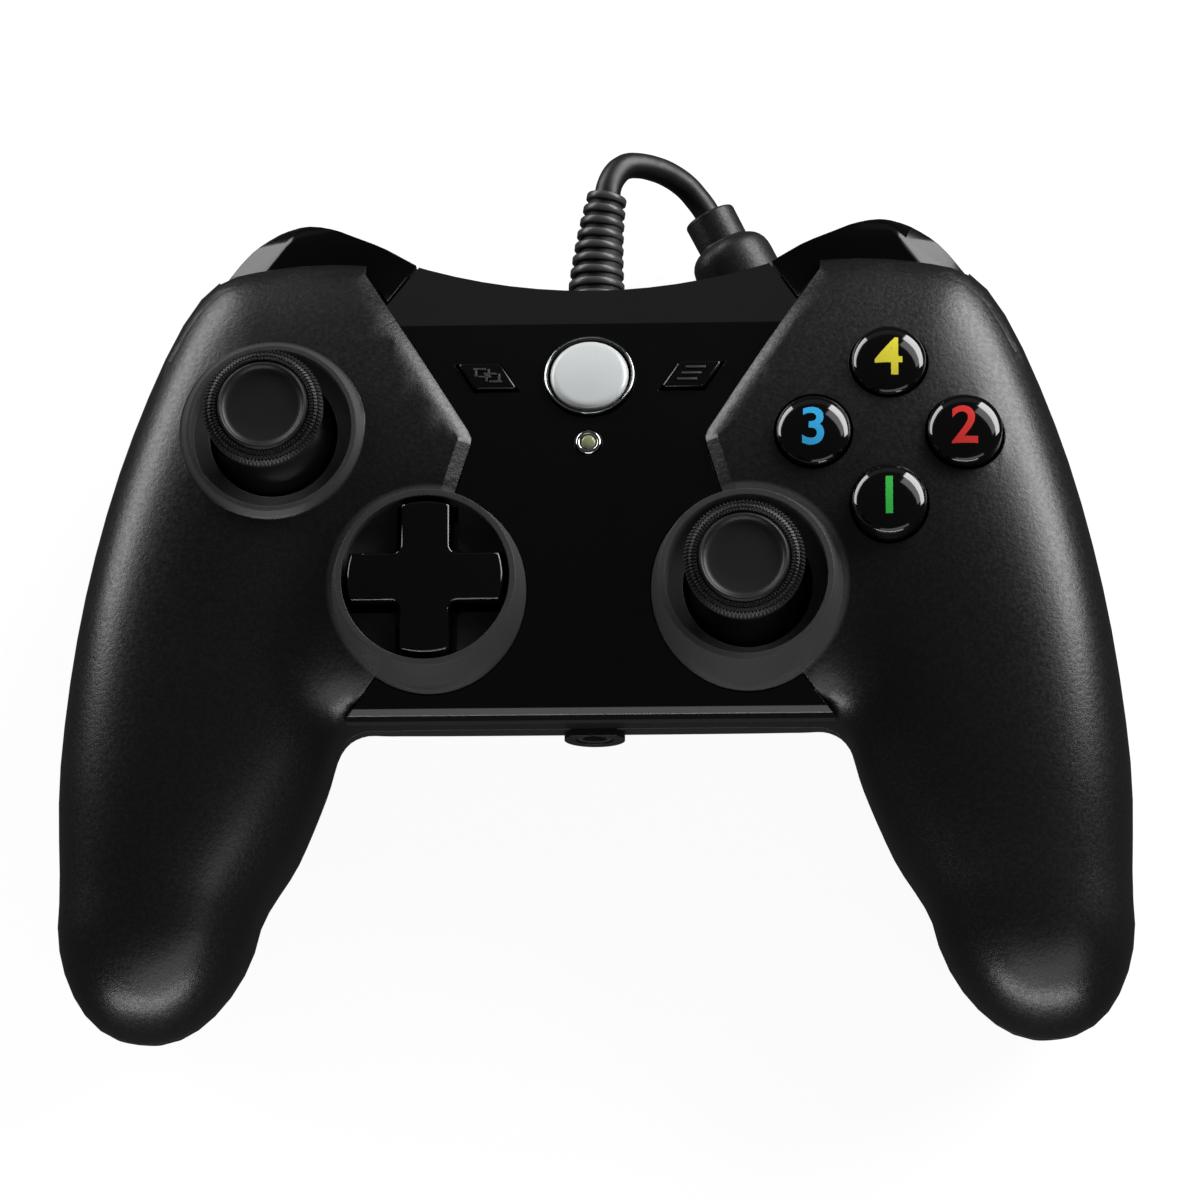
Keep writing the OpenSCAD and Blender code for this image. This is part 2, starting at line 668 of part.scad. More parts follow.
module stick_shaft(at) color("#c9c9c4") stick_frame(at) {
    shoulder = hub[2] / 2 + 0.1 + click_travel + 0.1;
    translate([0, 0, -hub[2] / 2 - 0.6]) cylinder(r = shaft_r, h = shoulder + hub[2] / 2 + 0.7);
    translate([0, 0, shoulder]) cylinder(r = neck_r - 0.02, h = cap_z - pivot_z - 1.7 - shoulder);
}
module stick_hub(at) color("#d8d6cf") stick_frame(at) difference() {
    union() {
        cube(hub, center = true);
        along_y() cylinder(r = hub_pin_r, h = rocker_out[1] - 0.2, center = true);
    }
    cylinder(r = shaft_r + run_gap, h = 20, center = true);
}
module lower_rocker(at) color("#e4e2da") stick_frame(at) difference() {
    union() {
        cube(rocker_out, center = true);
        along_x() cylinder(r = trunnion_r, h = housing_half * 2 - 0.2, center = true);
    }
    cube([hub[0] + 2.9, hub[1] + 0.6, 20], center = true);
    along_y() cylinder(r = hub_pin_r + run_gap, h = 20, center = true);
}
module upper_rocker(at) color("#3c3c40") stick_frame(at) {
    slot_w = 2 * neck_r + 0.7;
    difference() {
        union() {
            difference() {
                along_x() cylinder(r = arch_r[1], h = arch_w, center = true);
                box([-10, -10, -10], [10, 10, 0]);
            }
            along_y() cylinder(r = 2.6, h = 2 * arch_r[1] - 0.4, center = true);
            along_y() cylinder(r = trunnion_r, h = housing_half * 2 - 0.2, center = true);
        }
        along_x() cylinder(r = arch_r[0], h = 20, center = true);
        box([-slot_w / 2, -4.6, 2], [slot_w / 2, 4.6, 12]);
    }
}
// The housing is open above the rockers and stays inside the skirt
module stick_housing(at) color("#2b2c2f") stick_frame(at) {
    low = board_top - pivot_z;
    difference() {
        intersection() {
            box([-housing_half, -housing_half, low], [housing_half, housing_half, housing_rise]);
            cylinder(r = housing_half + 1.3, h = 60, center = true);
        }
        intersection() {
            box([-housing_in / 2, -housing_in / 2, low + 0.8], [housing_in / 2, housing_in / 2, 20]);
            cylinder(r = housing_half + 0.5, h = 60, center = true);
        }
        along_x() cylinder(r = trunnion_r + run_gap, h = 40, center = true);
        along_y() cylinder(r = trunnion_r + run_gap, h = 40, center = true);
    }
}
// One sensor on the outer side of a housing, one on its front
sensor = [9, 4.6, 6.2];
module stick_sensors(at, side) color("#2f6f8f") {
    low = board_top;
    for (turn = [side > 0 ? 0 : 180, -90])
        translate(at) rotate([0, 0, turn])
            box([housing_half, -sensor[0] / 2, low],
                [housing_half + sensor[1], sensor[0] / 2, low + sensor[2]]);
}
module stick_click_switches() color("#2a2a2c") {
    s = [4, 6, 4.2];
    for (k = [[left_stick_at, 1], [right_stick_at, -1]])
        translate([k[0][0] + k[1] * (housing_half + s[0] / 2), k[0][1], board_top + s[2] / 2])
            cube(s, center = true);
}

// Direction pad: a cross that rocks on a ball, with four legs over the membrane
cross_gap = 0.85;
dpad_ball_z = collar_z - 10;
flange_r = 10.5;
leg_at = 7.6;
leg_r = 1.8;
cross_fillet = 1.2;
module cross_outline(grow) {
    half = (cross_arm + grow) / 2;
    intersection() {
        union() {
            square([cross_span + grow, cross_arm + grow], center = true);
            square([cross_arm + grow, cross_span + grow], center = true);
        }
        circle(d = cross_span + grow);
    }
    for (a = [0:90:270]) rotate(a) translate([half, half]) difference() {
        translate([-0.5, -0.5]) square(cross_fillet + 0.5);
        translate([cross_fillet, cross_fillet]) circle(cross_fillet);
    }
}
module dpad_cross() color("#0d0d0f") translate([dpad_at[0], dpad_at[1], dpad_ball_z]) difference() {
    union() {
        translate([0, 0, 2.4]) linear_extrude(collar_z - dpad_ball_z - 2) cross_outline(0);
        translate([0, 0, 1.6]) cylinder(r = flange_r, h = 1.6);
        translate([0, 0, 0.4]) cylinder(r = ball_r + 1.4, h = 2);
        for (a = [0:90:270]) rotate([0, 0, a]) translate([leg_at, 0, -5.5]) cylinder(r = leg_r, h = 7.4);
    }
    sphere(r = ball_r + 0.05);
}
module dpad_ball() color("#b9bcc0")
    translate([dpad_at[0], dpad_at[1], dpad_ball_z]) sphere(r = ball_r);
module dpad_post() color("#d0cfc8") translate([dpad_at[0], dpad_at[1], 0]) difference() {
    translate([0, 0, board_top]) cylinder(r = ball_r + 0.6, h = dpad_ball_z - 0.4 - board_top);
    translate([0, 0, dpad_ball_z]) sphere(r = ball_r + 0.05);
}
module dpad_membrane() color("#6f7478") translate([dpad_at[0], dpad_at[1], board_top]) difference() {
    dome_h = dpad_ball_z - 5.5 - 1.2 - board_top;
    union() {
        cylinder(r = leg_at + 3.4, h = 1.2);
        for (a = [0:90:270]) rotate([0, 0, a]) translate([leg_at, 0, 0])
            cylinder(r = leg_r + 0.4, h = dome_h);
    }
    translate([0, 0, -over]) cylinder(r = ball_r + 1, h = 10);
}

// Face buttons: each slides square to the face at the cluster
button_tilt = 8;
cluster_y = back_y - cluster_in;
cluster_z = face_z - 0.4;
button_at = [for (a = [90, 180, 0, 270]) cluster_r * [cos(a), sin(a)]];
button_rise = 0.9;
button_dome = 1.3;
button_flange = 0.6;
button_flange_z = [6, 5];
button_foot = 11;
membrane_rim = 3.4;
module button_frame(at) {
    translate([cluster_x, cluster_y, cluster_z]) rotate([-button_tilt, 0, 0]) translate(at) children();
}
module face_button(i) color("#111113") button_frame(button_at[i]) rotate_extrude() polygon(concat(
    [[0, -button_foot], [2.2, -button_foot], [2.2, -button_flange_z[0]]],
    [for (z = button_flange_z) [button_d / 2 + button_flange, -z]],
    [[button_d / 2, -button_flange_z[1]], [button_d / 2, button_rise - 0.6]],
    [for (a = [0:15:90]) [button_d / 2 * cos(a), button_rise - 0.6 + (button_dome + 0.6) * sin(a)]]
));
module face_button_membrane() color("#6f7478") difference() {
    translate([cluster_x, cluster_y, board_top]) {
        cylinder(r = cluster_r + membrane_rim, h = 1.2);
        for (at = button_at) translate(at) cylinder(r = 3, h = 8);
    }
    for (at = button_at) button_frame(at)
        translate([0, 0, -button_foot - button_travel - slide_gap]) cylinder(r = 5, h = 20);
}

// Guide, view and menu buttons slide square to the panel
guide_ring_d = guide_d + 1.6;
lens_ring_d = lens_d + 1.5;
module panel_frame(x, y) {
    translate([x, y, panel_at(y)]) rotate([-panel_tilt(y), 0, 0]) children();
}
module menu_outline(l, w) {
    lean = w * 0.3;
    polygon([
        [-l / 2 - lean, w / 2], [l / 2 - lean, w / 2], [l / 2 + lean, -w / 2], [-l / 2 + lean, -w / 2]
    ]);
}
stem_l = 6.5;
module guide_button() color("#d9dcdc") panel_frame(0, guide_y) {
    rotate_extrude() polygon([
        [0, -3], [guide_d / 2, -3], [guide_d / 2, 0.4], [guide_d / 2 - 0.6, 0.9],
        [guide_d / 4, 1.2], [0, 1.3]
    ]);
    translate([0, 0, -stem_l]) cylinder(r = 1.5, h = stem_l - 2.5);
}
module guide_ring() color("#0a0a0b") panel_frame(0, guide_y) rotate_extrude() polygon([
    [guide_d / 2 + slide_gap, -panel_t], [guide_ring_d / 2, -panel_t], [guide_ring_d / 2, 0.5],
    [guide_ring_d / 2 - 0.25, 0.7], [guide_d / 2 + slide_gap, 0.7]
]);
module menu_key() {
    translate([0, 0, -3]) linear_extrude(3.7) menu_outline(menu_l, menu_w);
    translate([0, 0, -stem_l]) cylinder(r = 1.2, h = stem_l - 2.5);
}
module view_button() color("#141416") panel_frame(-menu_x, guide_y) menu_key();
module menu_button() color("#141416") mirror([1, 0, 0]) panel_frame(-menu_x, guide_y) menu_key();
module centre_switches() color("#2a2a2c") {
    drop = stem_l + small_travel + slide_gap;
    foot_y = guide_y - drop * sin(panel_tilt(guide_y));
    foot_z = panel_at(guide_y) - drop * cos(panel_tilt(guide_y));
    for (x = [-menu_x, 0, menu_x])
        translate([x, foot_y, board_top]) {
            box([-3, -3, 0], [3, 3, 3.4]);
            cylinder(r = 1.4, h = foot_z - board_top - 0.5);
        }
}
module status_lens() color("#bfd6c4") panel_frame(0, lens_y) {
    down = (panel_at(lens_y) - board_top) / cos(panel_tilt(lens_y)) - 1;
    translate([0, 0, -down]) cylinder(d = lens_d, h = down + 0.3);
}
module status_ring() color("#b8bbbd") panel_frame(0, lens_y) difference() {
    translate([0, 0, -panel_t]) cylinder(d = lens_ring_d, h = panel_t + 0.35);
    cylinder(d = lens_d + 2 * run_gap, h = 20, center = true);
}

// Bumpers: each turns on an upright pin at its inner end
function bumper_edge(points, i, t) =
    let (n = len(points) - 1)
    spline(points[max(i - 1, 0)], points[i], points[i + 1], points[min(i + 2, n)], t);
bumper_back = [
    [bumper_x[0], back_y + 5.1], [33.5, body_d / 2 - 3.2], [41.4, body_d / 2 - 0.5],
    [48.7, body_d / 2 - 3.3], [bumper_x[1], back_y + 3.5]
];
module bumper_plan() polygon(concat(
    [[bumper_x[1], bumper_in_y], [bumper_pin_at[0] + 4.5, bumper_in_y]],
    [[bumper_pin_at[0] + 3, bay_y + slide_gap], [panel_corner[0] + 0.2, bay_y + slide_gap]],
    [for (i = [0:3], k = [0:4]) bumper_edge(bumper_back, i, k / 5)],
    [bumper_back[4]]
));
// The nose between the wing's corner and the panel rises to the panel's slope
module bumper_nose() intersection() {
    translate([0, 0, bumper_low]) linear_extrude(20) polygon([
        panel_corner + [-0.05, 0.75], wing_corner - [0.7, 0.2], [wing_corner[0] - 1.7, back_y + 5.4],
        [bumper_x[0] + 0.2, back_y + 5]
    ]);
    side_extrude([
        [bay_y, bumper_low - over], [back_y + 6, bumper_low - over], [back_y + 6, strip_z(back_y + 6)],
        [bay_y, strip_z(bay_y)]
    ], 200);
}
module bumper(side) color("#0c0c0e") on_side(side) difference() {
    union() {
        intersection() {
            translate([0, 0, bumper_low]) linear_extrude(bumper_t) bumper_plan();
            side_extrude([
                [bay_y, bumper_low - over], [body_d / 2 - 1, bumper_low - over],
                [body_d / 2, bumper_low + 1.4], [body_d / 2 - 0.2, bumper_top - 2.6],
                [body_d / 2 - 1.6, bumper_top - 1.2], [body_d / 2 - 4, bumper_top - 0.4],
                [back_y + 4, bumper_top], [bay_y, bumper_top]
            ], 200);
            translate([0, body_d, 0]) rotate([90, 0, 0]) linear_extrude(body_d) polygon([
                [bumper_x[0] - 1, bumper_low - over], [bumper_x[1] + 1, bumper_low - over],
                [bumper_x[1] + 1, bumper_top - 1], [bumper_x[1] - 6, bumper_top + over],
                [bumper_pin_at[0], bumper_top + over], [bumper_x[0] + 5, bumper_top - 0.1],
                [bumper_x[0] - 1, bumper_top - 1.7]
            ]);
        }
        bumper_nose();
    }
    translate(bumper_pin_at) cylinder(r = bumper_pin_r + run_gap, h = 60);
}
module bumper_pins() color("#b9bcc0") both_sides()
    translate([bumper_pin_at[0], bumper_pin_at[1], part_z - seam + 0.1])
        cylinder(r = bumper_pin_r, h = bumper_pin_top - part_z + seam - 0.1);
module bumper_switches() color("#2a2a2c") both_sides() {
    translate([bumper_switch_x, bay_y, board_top]) {
        box([-3, -6.4, 0], [3, -1.2, 4.6]);
        translate([0, -1.4, 3]) along_y() cylinder(r = 1.2, h = 2.7);
    }
}

// Triggers: each turns on a cross pin under its bumper
trigger_back = [
    [1.4, 2.2], [2.3, -2], [2.2, -6], [1.2, -9.5], [0, -11.6], [0.4, -12.6], [1.8, -12.4], [5.4, -8.6]
];
trigger_line = concat(
    [for (p = trigger_back) [body_d / 2 - p[0], trigger_pivot[1] + p[1]]],
    [[trigger_pivot[0] + 2.4, trigger_pivot[1] - 4.4]]
);
module trigger_plan() {
    half = trigger_w / 2;
    reach = body_d / 2;
    translate([trigger_x, 0]) polygon([
        [-half, back_y - 7], [-half, reach - 5], [-half + 1.5, reach - 2.4], [-half + 4, reach - 0.7],
        [-half + 7, reach + 0.1], [half - 9, reach + 0.1], [half - 5.4, reach - 1.2],
        [half - 2.6, reach - 3.4], [half - 0.8, reach - 6], [half, reach - 8], [half, back_y - 7]
    ]);
}
module trigger(side) color("#121214") on_side(side) difference() {
    union() {
        intersection() {
            translate([trigger_x, 0, 0]) side_extrude(concat(
                [for (k = [-1, 1]) [trigger_pivot[0], trigger_pivot[1] + k * trigger_hub_r]], trigger_line
            ), trigger_w);
            linear_extrude(40) trigger_plan();
        }
        translate([trigger_x, trigger_pivot[0], trigger_pivot[1]]) along_x()
            cylinder(r = trigger_hub_r, h = trigger_w, center = true);
    }
    translate([trigger_x, trigger_pivot[0], trigger_pivot[1]]) along_x() {
        cylinder(r = trigger_pin_r + run_gap, h = 60, center = true);
        cylinder(r = trigger_hub_r + slide_gap, h = spring_w + 2 * slide_gap, center = true);
    }
}
spring_w = 5;
module trigger_pin(side) color("#b9bcc0") on_side(side)
    translate([trigger_x, trigger_pivot[0], trigger_pivot[1]]) along_x()
        cylinder(r = trigger_pin_r, h = trigger_w + 2 * lug_t - 0.6, center = true);
module trigger_spring(side) color("#8d9094") on_side(side)
    translate([trigger_x, trigger_pivot[0], trigger_pivot[1]]) along_x() difference() {
        cylinder(r = trigger_hub_r - 0.2, h = spring_w, center = true);
        cylinder(r = trigger_pin_r + run_gap, h = 60, center = true);
    }
module trigger_lugs() {
    for (side = [-1, 1])
        translate([trigger_x + side * (trigger_w / 2 + slide_gap + lug_t / 2), 0, 0])
            box([-lug_t / 2, trigger_pivot[0] - 3.4, 0], [lug_t / 2, 60, part_z - seam - 0.2]);
}
module trigger_bay() {
    translate([trigger_x, 0, 0])
        box([-trigger_w / 2 - slide_gap, trigger_pivot[0] - trigger_hub_r - 0.8, -over],
            [trigger_w / 2 + slide_gap, 80, part_z + 5]);
}
module trigger_sensors() color("#1f5a36") both_sides() {
    x = trigger_x - trigger_w / 2 - slide_gap - lug_t;
    translate([x - 1.2, trigger_pivot[0], trigger_pivot[1]]) box([0, -3.2, -1], [1, 0.6, 3]);
}

// Rumble motors lie along the grips, each with an eccentric weight on its shaft
motor_at = [grip_x - 17, 15];
motor_y = [tip_y + 43, tip_y + 43 - motor_l];
motor_saddle_y = [motor_y[0] - 3.5, motor_y[1] + 4];
motor_shaft_r = 1;
weight_y = [motor_y[1] - 8.5, motor_y[1] - 1.5];
module motor_frame(side, y) { on_side(side) translate([motor_at[0], y, motor_at[1]]) along_y() children(); }
module motor(side) color("#a9acae") motor_frame(side, motor_y[1]) difference() {
    union() {
        cylinder(r = motor_r, h = motor_l);
        translate([0, 0, -0.8]) cylinder(r = 2.4, h = 1);
    }
    translate([0, 0, -over]) cylinder(r = motor_shaft_r + run_gap, h = 8);
}
module motor_shaft(side) color("#c9c9c4")
    motor_frame(side, weight_y[0]) cylinder(r = motor_shaft_r, h = motor_y[1] + 6 - weight_y[0]);
module weight(side, r) color("#7d8084") motor_frame(side, weight_y[0]) difference() {
    union() {
        intersection() {
            cylinder(r = r, h = weight_y[1] - weight_y[0]);
            box([-r, -0.5, 0], [r, r, 10]);
        }
        cylinder(r = 3, h = weight_y[1] - weight_y[0]);
    }
    translate([0, 0, -over]) cylinder(r = motor_shaft_r + 0.02, h = 20);
}

// Headset socket in a notch of the board
jack_w = 7;
jack_boss_d = 8.7;
jack_sleeve_d = 5;
jack_front_y = -front_y + wall + 0.3;
jack_back_y = -front_y + 14;
jack_depth = 13;
jack_mouth_y = -front_y - 0.8;
module headset_jack() color("#0e0e10") difference() {
    union() {
        box([-jack_w / 2, jack_front_y, jack_z - 3], [jack_w / 2, jack_back_y, jack_z + 3]);
        translate([0, jack_mouth_y, jack_z]) along_y() cylinder(d = jack_sleeve_d, h = 4);
    }
    translate([0, jack_mouth_y, jack_z]) along_y() translate([0, 0, -over])
        cylinder(d = jack_bore_d, h = jack_depth + over);
}

// Screws
module screw(seat, length, r, head_r, head_h) {
    translate([0, 0, seat - head_h]) cylinder(r = head_r, h = head_h);
    translate([0, 0, seat]) cylinder(r = r, h = length);
}
module case_screws() color("#6c6f73") {
    both_sides() for (i = [0:1]) translate(case_screw_at[i])
        screw(case_screw_seat[i], 12, screw_r, screw_head_r, screw_head_h);
    translate(middle_screw_at) screw(middle_screw_seat, 18, screw_r, screw_head_r, screw_head_h);
}
module board_screws() color("#6c6f73") both_sides() for (at = board_screw_at)
    translate(at) screw(board_low, 6, board_screw_r, 2, 1.2);

// Cable boot in the back wall, the cord and the connector at its end
boot_z = 17;
boot_y = [back_y - 4.5, back_y + 1.4, back_y + 16.4];
boot_tip_d = 5.4;
boot_flange_d = 12;
rib_depth = 0.6;
module boot_hole() translate([0, boot_y[0] - 1, boot_z]) along_y()
    cylinder(d = boot_d + 2 * seat_gap, h = 10);
function boot_radius(t) = (boot_d + (boot_tip_d - boot_d) * t) / 2;
module cable_boot() color("#1a1a1c") translate([0, 0, boot_z]) rotate([-90, 0, 0]) difference() {
    foot = boot_y[1];
    pitch = (boot_y[2] - foot) / boot_ribs;
    rotate_extrude() polygon(concat(
        [[0, boot_y[0] - 1.6], [boot_flange_d / 2, boot_y[0] - 1.6]],
        [[boot_flange_d / 2, boot_y[0]], [boot_d / 2, boot_y[0]]],
        [for (i = [0:boot_ribs - 1], k = [0:3])
            let (t = (i + [0, 0.62, 0.68, 0.96][k]) / boot_ribs)
            [boot_radius(t) - (k < 2 ? 0 : rib_depth), foot + pitch * boot_ribs * t]],
        [[boot_radius(1), boot_y[2]], [0, boot_y[2]]]
    ));
    translate([0, 0, cord_route[0][1] - 0.1]) cylinder(d = cord_d + 0.1, h = 60);
}

// The cord's route, from the back wall through the boot and round to the connector
cord_route = [
    [0, 47, 17], [0, 55, 17], [0, 63.4, 17], [0.1, 64.6, 17], [0.5, 65.9, 16.8], [1.2, 67.2, 16.5],
    [2.2, 68.4, 16], [3.4, 69.4, 15.2], [4.9, 70, 14.3], [6.6, 70.3, 13.2], [8.4, 70.2, 12],
    [10.1, 69.8, 10.8], [11.6, 69.1, 9.7], [13, 68.2, 8.8], [14.2, 67, 8], [15.2, 65.7, 7.5],
    [16.1, 64.2, 7.3]
];
cord_sides = 8;
function cord_heading(i) =
    unit(cord_route[min(i + 1, len(cord_route) - 1)] - cord_route[max(i - 1, 0)]);
module pigtail_cord() {
    n = len(cord_route);
    points = [for (i = [0:n - 1], k = [0:cord_sides - 1])
        let (
            ahead = cord_heading(i),
            side = unit(cross(ahead, [0, 0, 1])),
            up = cross(side, ahead),
            a = 360 * k / cord_sides
        )
        cord_route[i] + cord_d / 2 * (side * cos(a) + up * sin(a))];
    function at(i, k) = i * cord_sides + k % cord_sides;
    color("#141416") polyhedron(points, concat(
        [for (i = [0:n - 2], k = [0:cord_sides - 1]) [at(i, k), at(i + 1, k), at(i + 1, k + 1)]],
        [for (i = [0:n - 2], k = [0:cord_sides - 1]) [at(i, k), at(i + 1, k + 1), at(i, k + 1)]],
        [[for (k = [0:cord_sides - 1]) at(0, k)], [for (k = [cord_sides - 1:-1:0]) at(n - 1, k)]]
    ));
}

connector_heading = -63;
connector_pitch = 3.6;
connector_l = 15.6;
socket_d = 7;
module connector_frame() {
    end = cord_route[len(cord_route) - 1];
    translate(end) rotate([0, connector_pitch, connector_heading]) along_x() children();
}
module breakaway_connector() color("#19191b") connector_frame() difference() {
    rotate_extrude() polygon([
        [0, 0.15], [3.2, 0.15], [3.7, 0.7], [3.7, 3.6], [3.9, 4.2], [4.9, 4.8], [bell_d / 2 - 0.4, 6.2],
        [bell_d / 2, 7.2], [bell_d / 2, connector_l - 0.5], [bell_d / 2 - 0.5, connector_l],
        [0, connector_l]
    ]);
    translate([0, 0, connector_l - 5]) cylinder(d = socket_d, h = 10);
}
module connector_contacts() color("#c8a24a") connector_frame()
    for (x = [-1.8, -0.6, 0.6, 1.8])
        translate([x - 0.3, -0.4, connector_l - 5]) cube([0.6, 0.8, 3.4]);

front_casing();
centre_panel();
rear_casing();
main_board();
stick_cap(left_stick_at);  // left_stick_cap
stick_shaft(left_stick_at);  // left_stick_shaft
stick_hub(left_stick_at);  // left_stick_hub
lower_rocker(left_stick_at);  // left_lower_rocker
upper_rocker(left_stick_at);  // left_upper_rocker
stick_housing(left_stick_at);  // left_stick_housing
stick_sensors(left_stick_at, -1);  // left_stick_sensors
stick_cap(right_stick_at);  // right_stick_cap
stick_shaft(right_stick_at);  // right_stick_shaft
stick_hub(right_stick_at);  // right_stick_hub
lower_rocker(right_stick_at);  // right_lower_rocker
upper_rocker(right_stick_at);  // right_upper_rocker
stick_housing(right_stick_at);  // right_stick_housing
stick_sensors(right_stick_at, 1);  // right_stick_sensors
stick_click_switches();
dpad_cross();
dpad_ball();
dpad_post();
dpad_membrane();
face_button(0);  // button_top
face_button(1);  // button_left
face_button(2);  // button_right
face_button(3);  // button_bottom
face_button_membrane();
guide_button();
guide_ring();
view_button();
menu_button();
centre_switches();
status_lens();
status_ring();
bumper(-1);  // left_bumper
bumper(1);  // right_bumper
bumper_pins();
bumper_switches();
trigger(-1);  // left_trigger
trigger_pin(-1);  // left_trigger_pin
trigger_spring(-1);  // left_trigger_spring
trigger(1);  // right_trigger
trigger_pin(1);  // right_trigger_pin
trigger_spring(1);  // right_trigger_spring
trigger_sensors();
motor(-1);  // left_motor
motor_shaft(-1);  // left_motor_shaft
weight(-1, left_weight_r);  // left_weight
motor(1);  // right_motor
motor_shaft(1);  // right_motor_shaft
weight(1, right_weight_r);  // right_weight
headset_jack();
case_screws();
board_screws();
cable_boot();
pigtail_cord();
breakaway_connector();
connector_contacts();
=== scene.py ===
"""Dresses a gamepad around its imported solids: grained casing, gloss panel, knurled sticks and lead.

Sizes are millimetres turned to metres by MM, in the part's own frame: +X is the player's right,
+Y points away from the player, +Z is up and the floor is at zero.
"""

import json
import math

import bmesh
import bpy
from mathutils import Matrix, Quaternion, Vector

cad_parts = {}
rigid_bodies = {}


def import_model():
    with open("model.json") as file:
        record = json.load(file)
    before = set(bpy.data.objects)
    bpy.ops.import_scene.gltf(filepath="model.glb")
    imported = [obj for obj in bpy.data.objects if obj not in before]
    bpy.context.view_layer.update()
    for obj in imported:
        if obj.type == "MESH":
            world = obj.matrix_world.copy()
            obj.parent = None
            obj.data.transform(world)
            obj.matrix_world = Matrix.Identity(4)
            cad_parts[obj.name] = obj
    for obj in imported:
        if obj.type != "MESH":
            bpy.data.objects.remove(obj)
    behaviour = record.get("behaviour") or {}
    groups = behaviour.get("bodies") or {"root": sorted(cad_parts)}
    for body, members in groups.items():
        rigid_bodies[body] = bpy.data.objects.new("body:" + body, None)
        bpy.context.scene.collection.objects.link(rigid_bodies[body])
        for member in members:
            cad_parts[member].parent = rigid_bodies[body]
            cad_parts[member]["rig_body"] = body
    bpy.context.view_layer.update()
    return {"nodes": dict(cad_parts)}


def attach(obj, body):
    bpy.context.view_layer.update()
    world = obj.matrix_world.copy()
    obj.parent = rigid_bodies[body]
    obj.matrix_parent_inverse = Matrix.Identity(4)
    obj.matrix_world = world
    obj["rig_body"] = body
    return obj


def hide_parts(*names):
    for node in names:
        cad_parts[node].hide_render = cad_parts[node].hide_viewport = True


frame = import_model()

MM = 0.001
MERGE = 0.002 * MM
scene = bpy.context.scene

# Camera: the photograph's frame and the view that fits the part to it
IMAGE = 1200
FOCAL_PX = 6294
SENSOR = 36
VIEW_TILT = math.radians(14.4)
VIEW_SIDE = math.radians(3.25)
VIEW_ROLL = math.radians(0.26)
VIEW_DISTANCE = 0.9
AIM = Vector((0, 33, 31)) * MM
AIM_PX = (590.2, 376.3)


def make_camera():
    """Looks down on the face from slightly in front and to the right, with AIM at its pixel."""
    data = bpy.data.cameras.new("camera")
    data.sensor_width = SENSOR
    data.lens = SENSOR * FOCAL_PX / IMAGE
    data.clip_start = 0.01
    camera = bpy.data.objects.new("camera", data)
    scene.collection.objects.link(camera)
    back = Vector((math.sin(VIEW_SIDE), -math.sin(VIEW_TILT), 0))
    back.z = math.sqrt(1 - back.length_squared)
    up = (Vector((0, 1, 0)) - back * back.y).normalized()
    up.rotate(Quaternion(back, VIEW_ROLL))
    right = up.cross(back)
    pixel = VIEW_DISTANCE / FOCAL_PX
    eye = AIM + back * VIEW_DISTANCE
    eye -= right * (AIM_PX[0] - IMAGE / 2) * pixel
    eye -= up * (IMAGE / 2 - AIM_PX[1]) * pixel
    turn = Matrix((right, up, back)).transposed().to_4x4()
    camera.matrix_world = Matrix.Translation(eye) @ turn
    scene.camera = camera


make_camera()


# Places, from the part's own sizes
FACE_Z = 36.5
CREST_Y = 13.5
FACE_R = 70
PANEL_STEP = 1.5
PIVOT_Z = 24.5
CLUSTER = Vector((42.7, 23, FACE_Z - 0.4))
CLUSTER_R = 10.7
BUTTON_TILT = math.radians(8)
GUIDE_Y = 32.5
LENS_Y = 22.2
MENU_X = 14.6
LEFT_STICK = (-45, 24)
RIGHT_STICK = (22.6, 1.3)
DIRECTION_PAD = (-22.6, 1.3)
LOW_COLLAR_R = 14.6
HIGH_COLLAR_R = 13.3


# Materials
def linear(code):
    """The linear colour of an sRGB hex value."""
    parts = [int(code[i:i + 2], 16) / 255 for i in (1, 3, 5)]
    return [c / 12.92 if c <= 0.04045 else ((c + 0.055) / 1.055) ** 2.4 for c in parts] + [1]


def add(material, kind, settings=None, **inputs):
    """Adds a node: settings are its fields, inputs are values or (node, output) links."""
    tree = material.node_tree
    node = tree.nodes.new(kind)
    for field, value in (settings or {}).items():
        setattr(node, field, value)
    for name, value in inputs.items():
        socket = node.inputs[name.replace("_", " ")]
        if isinstance(value, tuple):
            tree.links.new(value[0].outputs[value[1]], socket)
        else:
            socket.default_value = value
    return node


def ranged(material, source, span, result):
    """The socket of a (node, output) value mapped from one span to another."""
    low, high = span
    start, end = result
    node = add(
        material, "ShaderNodeMapRange", Value=source, From_Min=low, From_Max=high, To_Min=start, To_Max=end
    )
    return node.outputs["Result"]


def finish_of(name, colour, **values):
    """A material with the shader's own sockets set, and its shader."""
    material = bpy.data.materials.new(name)
    material.use_nodes = True
    shader = material.node_tree.nodes["Principled BSDF"]
    shader.inputs["Base Color"].default_value = linear(colour)
    for socket, value in values.items():
        shader.inputs[socket.replace("_", " ")].default_value = value
    return material, shader


# The part of the noise that is used, and the length of its slow drift
NOISE_SPAN = (0.3, 0.7)
DRIFT = 24


